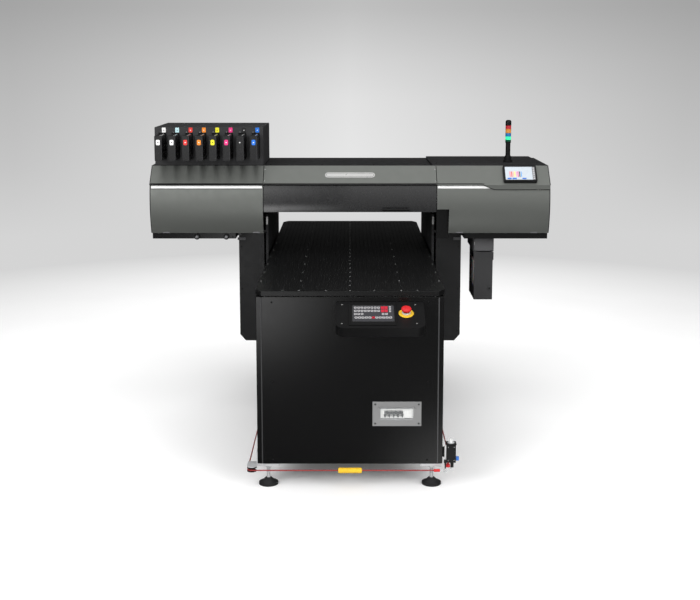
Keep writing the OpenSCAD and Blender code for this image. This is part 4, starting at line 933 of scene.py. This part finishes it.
def leg_details():
    """Latches, louvres and screws of the legs and trays, and the tray's knobs."""
    leg, tray, plates = Box("leg_covers"), Box("trays"), Box("side_plates")
    knobs, rings = Shape(), Shape()
    for x in (-730, -590):
        place = on_front(x, tray.y0, tray.z0 + 10)
        knobs.at(place).lathe(
            [(0, 9), (7, 9), (7.6, 11), (7.6, 16), (6.4, 19), (3.5, 20.6), (0, 21)], 28)
        rings.at(place).lathe([(0, -0.5), (13.5, -0.5), (13.5, 9), (12.6, 10), (0, 10)], 28)
    knobs.build("tray_knobs", "head", "steel", TAB_GREY)
    rings.build("tray_knob_rings", "head", "black_plastic", DEEP_BLACK_AND_SHADE)
    tabs, latches, joints = Shape(), Shape(), Shape()
    for side in (-1, 1):
        joints.at(on_front(side * leg.x1, leg.y0 - 1, tray.z0 + 14.5))
        joints.plate(-12, 12, -14, 14, -2, 0)
        tabs.at(on_front(side * 525, leg.y0, 889)).plate(-22, 16, -6.5, 6.5, -0.5, 4, 2)
        latches.at(on_front(side * 403, plates.y0, 978)).plate(-4.5, 4.5, -19, 19, -0.5, 3, 1.5)
    joints.build("tray_joints", "head", "black_paint", bevel=0.4)
    tabs.build("leg_tabs", "head", "light_grey_paint", bevel=0.8)
    latches.build("side_latches", "head", "steel", SILVER_PRINT_AND_HIGHLIGHT, bevel=0.6)
    fixings = []
    for side, word in SIDES:
        x = side * leg.x1
        for z in (500, 720):
            louvres(f"leg_louvres_{word}_{z}", on_side(side, x, leg.y, z), 420, 130, 13, "head")
        fixings += [on_side(side, x, y, z)
                    for y, z in grid(leg.y0 + 25, leg.y1 - 25, 5, 440, 875, 3)]
        fixings += [on_front(side * 480 + dx, leg.y0, z) for dx in (-48, 48)
                    for z in (430, 640, 850)]
        fixings += [on_front(side * along, tray.y0, tray.z0 + 9) for along in (560, 900)]
    screws("leg_screws", fixings, 3.4, "head", "black_paint", DEEP_BLACK_AND_SHADE)


def rear_details():
    """Louvres, fan guards, hatch seams and screws on the housing's back and top."""
    rear, top = Box("rear_and_end_covers"), Box("top_covers")
    for side, word in SIDES:
        louvres(f"rear_cover_louvres_{word}", on_back(side * 700, rear.y1, 1040), 300, 120, 12,
                "head", "dark_cover", 3)
    guards, fan_opening_shades = Shape(), Shape()
    for x in (-120, 120):
        place = on_back(x, rear.y1, 1085)
        for r in (14, 22, 30, 38):
            guards.at(place).lathe([(r - 1, 2), (r + 1, 2), (r + 1, 4), (r - 1, 4)], 36,
                                   closed=True)
        for i in range(4):
            a = math.radians(45 + 90 * i)
            guards.at(place @ Matrix.Rotation(a, 4, "Z")).plate(8, 42, -1.1, 1.1, 0, 3)
        # Dark discs behind the guards are painted shade of the fan openings.
        fan_opening_shades.at(place).lathe([(0, -0.4), (40, -0.4), (40, 0.4), (0, 0.4)], 40)
        guards.at(place).lathe([(0, 0), (10, 0), (10, 4), (0, 4)], 24)
    guards.build("fan_guards", "head", "steel")
    fan_opening_shades.build("fan_openings", "head", "dark_cover", HOLE)
    places = [on_back(x, rear.y1, z) for x, z in grid(-900, 900, 10, 1120, 1120, 1)]
    places += [on_back(x, rear.y1, 945) for x in (-900, -700, -500, 500, 700, 900)]
    lid = top.z1
    places += [on_top(x, y, lid) for x, y in grid(415, 896, 4, top.y0 + 24, top.y1 - 24, 2)]
    places += [on_top(x, y, lid - 8) for x, y in grid(-380, 360, 4, top.y0 + 20, top.y1 - 20, 2)]
    screws("cover_screws", places, 3.6, "head", "black_paint", drop=0.2)
    seams = Shape()
    for x in (-411, 411):
        seams.at(on_back(x, rear.y1, 1083)).plate(-1, 1, -44, 44, -0.4, 0.25)
    for x0, x1 in ((430, 930), (-930, -430)):
        seams.at(on_back(0, rear.y1, 0)).plate(x0, x1, 938, 939, -0.4, 0.25)
    seams.build("rear_seams", "head", "dark_cover", HOLE)


def waste_details():
    """The waste tray's latch, its pull and the bottle's cap."""
    tray, bottle, bracket = Box("bottle_tray"), Box("waste_bottle"), Box("waste_bracket")
    latch = on_front(tray.x1 - 18, tray.y0, tray.z0 + 56)
    plate("tray_latch", latch, (-7, 7, -9, 9, -0.5, 3, 2),
          "bottle_drawer", "mid_grey_paint", bevel=0.6)
    Shape(latch).lathe([(0, 2), (4.2, 2), (4.2, 4.4), (3.4, 5), (0, 5)], 20).build(
        "tray_lock", "bottle_drawer", "black_plastic", DEEP_BLACK_AND_SHADE)
    plate("tray_pull_lip", on_front(tray.x, tray.y0, tray.z0 + 10), (-30, 30, -4, 4, -0.5, 1.2, 3),
          "bottle_drawer", "mid_grey_paint", bevel=0.6)
    cap = [(0, 0), (19.8, 0), (20, 1), (20, 11), (19, 12.5), (0, 12.5)]
    Shape(on_top(bottle.x, bottle.y0 + 62, bottle.z1 - 12)).lathe(cap, 24).build(
        "bottle_cap", "bottle_drawer", "blue_plastic")
    plate("bracket_front", on_front(bracket.x, bracket.y0 + 1, bracket.z),
          (-44.5, 44.5, -34, 34, -2, 0, 1), "head", "light_grey_paint", bevel=0.6)
    fixings = [on_side(side, bracket.x + side * (bracket.x1 - bracket.x0) / 2, y, bracket.z1 - 18)
               for side in (-1, 1) for y in (bracket.y0 + 30, bracket.y1 - 30)]
    screws("bracket_screws", fixings, 3.4, "head", "zinc")


# ---------------------------------------------------------------- stage, light and camera
# Lengths from here on are in metres.

FLOOR_RADIUS = 5.0
FLOOR_WHITE = 2.1  # the floor is white out to here, and then fades to the distance's tone
FAR_TONE = 0.66  # the tone of floor and world where they meet

# Tones of the world by elevation behind the machine and at the sides, as (height, tone)
SKY_EDGE = ((-1, FAR_TONE), (-0.15, FAR_TONE))
SKY_MIDDLE = ((-0.09, 0.80), (-0.034, 0.76), (0.0, 0.68), (0.05, 0.52), (1, 0.4))
SKY_SIDES = ((-0.09, 0.56), (-0.034, 0.50), (0.0, 0.456), (0.05, 0.37), (1, 0.3))
# Tones that reflections find in the world, along the direction DOME_AXIS
DOME_AXIS = (0, -0.6, 0.8)
DOME = ((-1, 0.01), (0.0, 0.03), (0.3, 0.08), (0.62, 0.34), (0.8, 0.54), (0.95, 0.92), (1.0, 0.92))
DOME_LIGHT = 0.62  # plain light from all round


def aim(thing, at, target):
    thing.location = at
    thing.rotation_euler = (Vector(target) - Vector(at)).to_track_quat("-Z", "Y").to_euler()


def soft_light(name, at, target, width, height, watts):
    """A softbox that no reflection shows."""
    data = bpy.data.lights.new(name, "AREA")
    data.shape, data.size, data.size_y, data.energy = "RECTANGLE", width, height, watts
    lamp = add_object(name, data)
    aim(lamp, at, target)
    lamp.visible_camera = lamp.visible_glossy = False


def flat_piece(name, corners, material):
    """A flat polygon on its own XY plane."""
    mesh = bpy.data.meshes.new(name)
    mesh.from_pydata([(*corner, 0) for corner in corners], [], [list(range(len(corners)))])
    mesh.materials.append(material)
    material.cycles.emission_sampling = "NONE"
    return add_object(name, mesh)


def card(name, at, target, width, height, strength, edge=0.5):
    """A glowing card with soft edges that only shows in first reflections."""
    material = bpy.data.materials.new(name)
    graph = Graph(material)
    spot = graph.node("SeparateXYZ", {"Vector": graph.node("TexCoord").outputs["Generated"]})
    across, up = (graph.ranged(graph.calculate("PINGPONG", spot.outputs[axis], 0.5), 0, 1, 0, edge)
                  for axis in "XY")
    first = graph.calculate("LESS_THAN", graph.node("LightPath").outputs["Ray Depth"], 1.5)
    power = across
    for factor in (up, first, strength):
        power = graph.calculate("MULTIPLY", power, factor)
    light = graph.node("Emission", {"Strength": power})
    graph.node("OutputMaterial", {"Surface": light.outputs["Emission"]})
    w, h = width / 2, height / 2
    plane = flat_piece(name, [(-w, -h), (w, -h), (w, h), (-w, h)], material)
    aim(plane, at, target)
    plane.visible_camera = plane.visible_diffuse = plane.visible_shadow = False
    plane.visible_transmission = plane.visible_volume_scatter = False


def studio_floor():
    """A pale floor that runs off into a soft grey distance."""
    material = bpy.data.materials.new("studio_floor")
    graph = Graph(material)
    place = graph.node("TexCoord").outputs["Object"]
    distance = graph.node("VectorMath", {0: place}, operation="LENGTH").outputs["Value"]
    tone = graph.graded(graph.noise(place, 2.0), ((0.3, 0.97), (0.7, 1.0)))
    surface = graph.node("BsdfDiffuse", {"Color": tone})
    lift = graph.node("Emission", {"Strength": 0.06})
    far = graph.node("Emission", {"Strength": FAR_TONE})
    near = graph.node("AddShader", {0: surface.outputs[0], 1: lift.outputs[0]})
    fade = graph.ranged(distance, 0, 1, FLOOR_WHITE, FLOOR_RADIUS - 0.15)
    graph.node("OutputMaterial", {"Surface": graph.mix(fade, near.outputs[0], far.outputs[0])})
    floor = flat_piece("floor", round_outline(FLOOR_RADIUS, 128), material)
    floor.visible_glossy = False


def studio_world():
    """Plain light from all round, a graded backdrop, and a dome that only reflections show."""
    world = bpy.data.worlds.new("studio")
    bpy.context.scene.world = world
    graph = Graph(world)
    look = graph.node("TexCoord").outputs["Generated"]
    lean = graph.node("VectorMath", {0: look, 1: DOME_AXIS}, operation="DOT_PRODUCT")
    dome = graph.graded(lean.outputs["Value"], DOME)
    split = graph.node("SeparateXYZ", {"Vector": look})
    side = graph.calculate("ABSOLUTE", split.outputs["X"])
    middle, sides = (graph.graded(split.outputs["Z"], (*SKY_EDGE, *sky))
                     for sky in (SKY_MIDDLE, SKY_SIDES))
    sky = graph.node("Mix", {}, data_type="RGBA")
    graph.feed(sky.inputs["Factor"], graph.ranged(side, 0, 1, 0.0, 0.29))
    graph.feed(sky.inputs[6], middle)
    graph.feed(sky.inputs[7], sides)
    plain = graph.node("Background", {"Color": (1, 1, 1, 1), "Strength": DOME_LIGHT})
    seen = graph.node("Background", {"Color": sky.outputs[2]})
    shiny = graph.node("Background", {"Color": dome})
    ray = graph.node("LightPath").outputs
    light = graph.mix(ray["Is Glossy Ray"], plain.outputs[0], shiny.outputs[0])
    whole = graph.mix(ray["Is Camera Ray"], light, seen.outputs[0])
    graph.node("OutputWorld", {"Surface": whole})


def studio():
    """The floor, the world, four softboxes, and cards for the black panel and the smoked cover."""
    bpy.context.scene.view_settings.view_transform = "Standard"
    studio_floor()
    studio_world()
    soft_light("key_above", (0, -2.2, 4.6), (0, 0, 0.8), 5.0, 3.0, 60)
    soft_light("front_left", (-3.4, -4.6, 3.2), (0, -0.2, 0.9), 3.0, 2.4, 150)
    soft_light("front_right", (3.6, -4.4, 3.0), (0, -0.2, 0.9), 3.0, 2.4, 125)
    soft_light("rear_fill", (0, 5.5, 3.5), (0, 0.6, 0.9), 4.0, 2.0, 130)
    card("panel_card_high", (-0.62, -3.0, 0.38), (-0.62, 0, 0.38), 1.15, 0.95, 3.4)
    card("panel_card_low", (0.62, -2.2, -0.50), (0.62, 0, -0.50), 1.0, 0.95, 2.3)
    card("cover_card", (-1.35, -3.2, 2.2), (-1.35, 0, 2.2), 2.6, 3.4, 2.4)


def camera():
    """The photograph's view: 5.3 m in front and 1.74 m up, looking 8 degrees down."""
    data = bpy.data.cameras.new("camera")
    data.sensor_width, data.lens, data.shift_y = 36.0, 56.77, -0.1177
    data.clip_end = 200
    view = add_object("camera", data)
    view.location = (0, -5.2882, 1.7381)
    view.rotation_euler = (math.radians(90 - 8), 0, 0)
    bpy.context.scene.camera = view


camera()
dress_cad_nodes()
table_details()
panel_details()
feet_details()
console_details()
breaker_details()
rope_details()
cover_details()
ink_details()
touch_details()
tower_details()
leg_details()
rear_details()
waste_details()
studio()
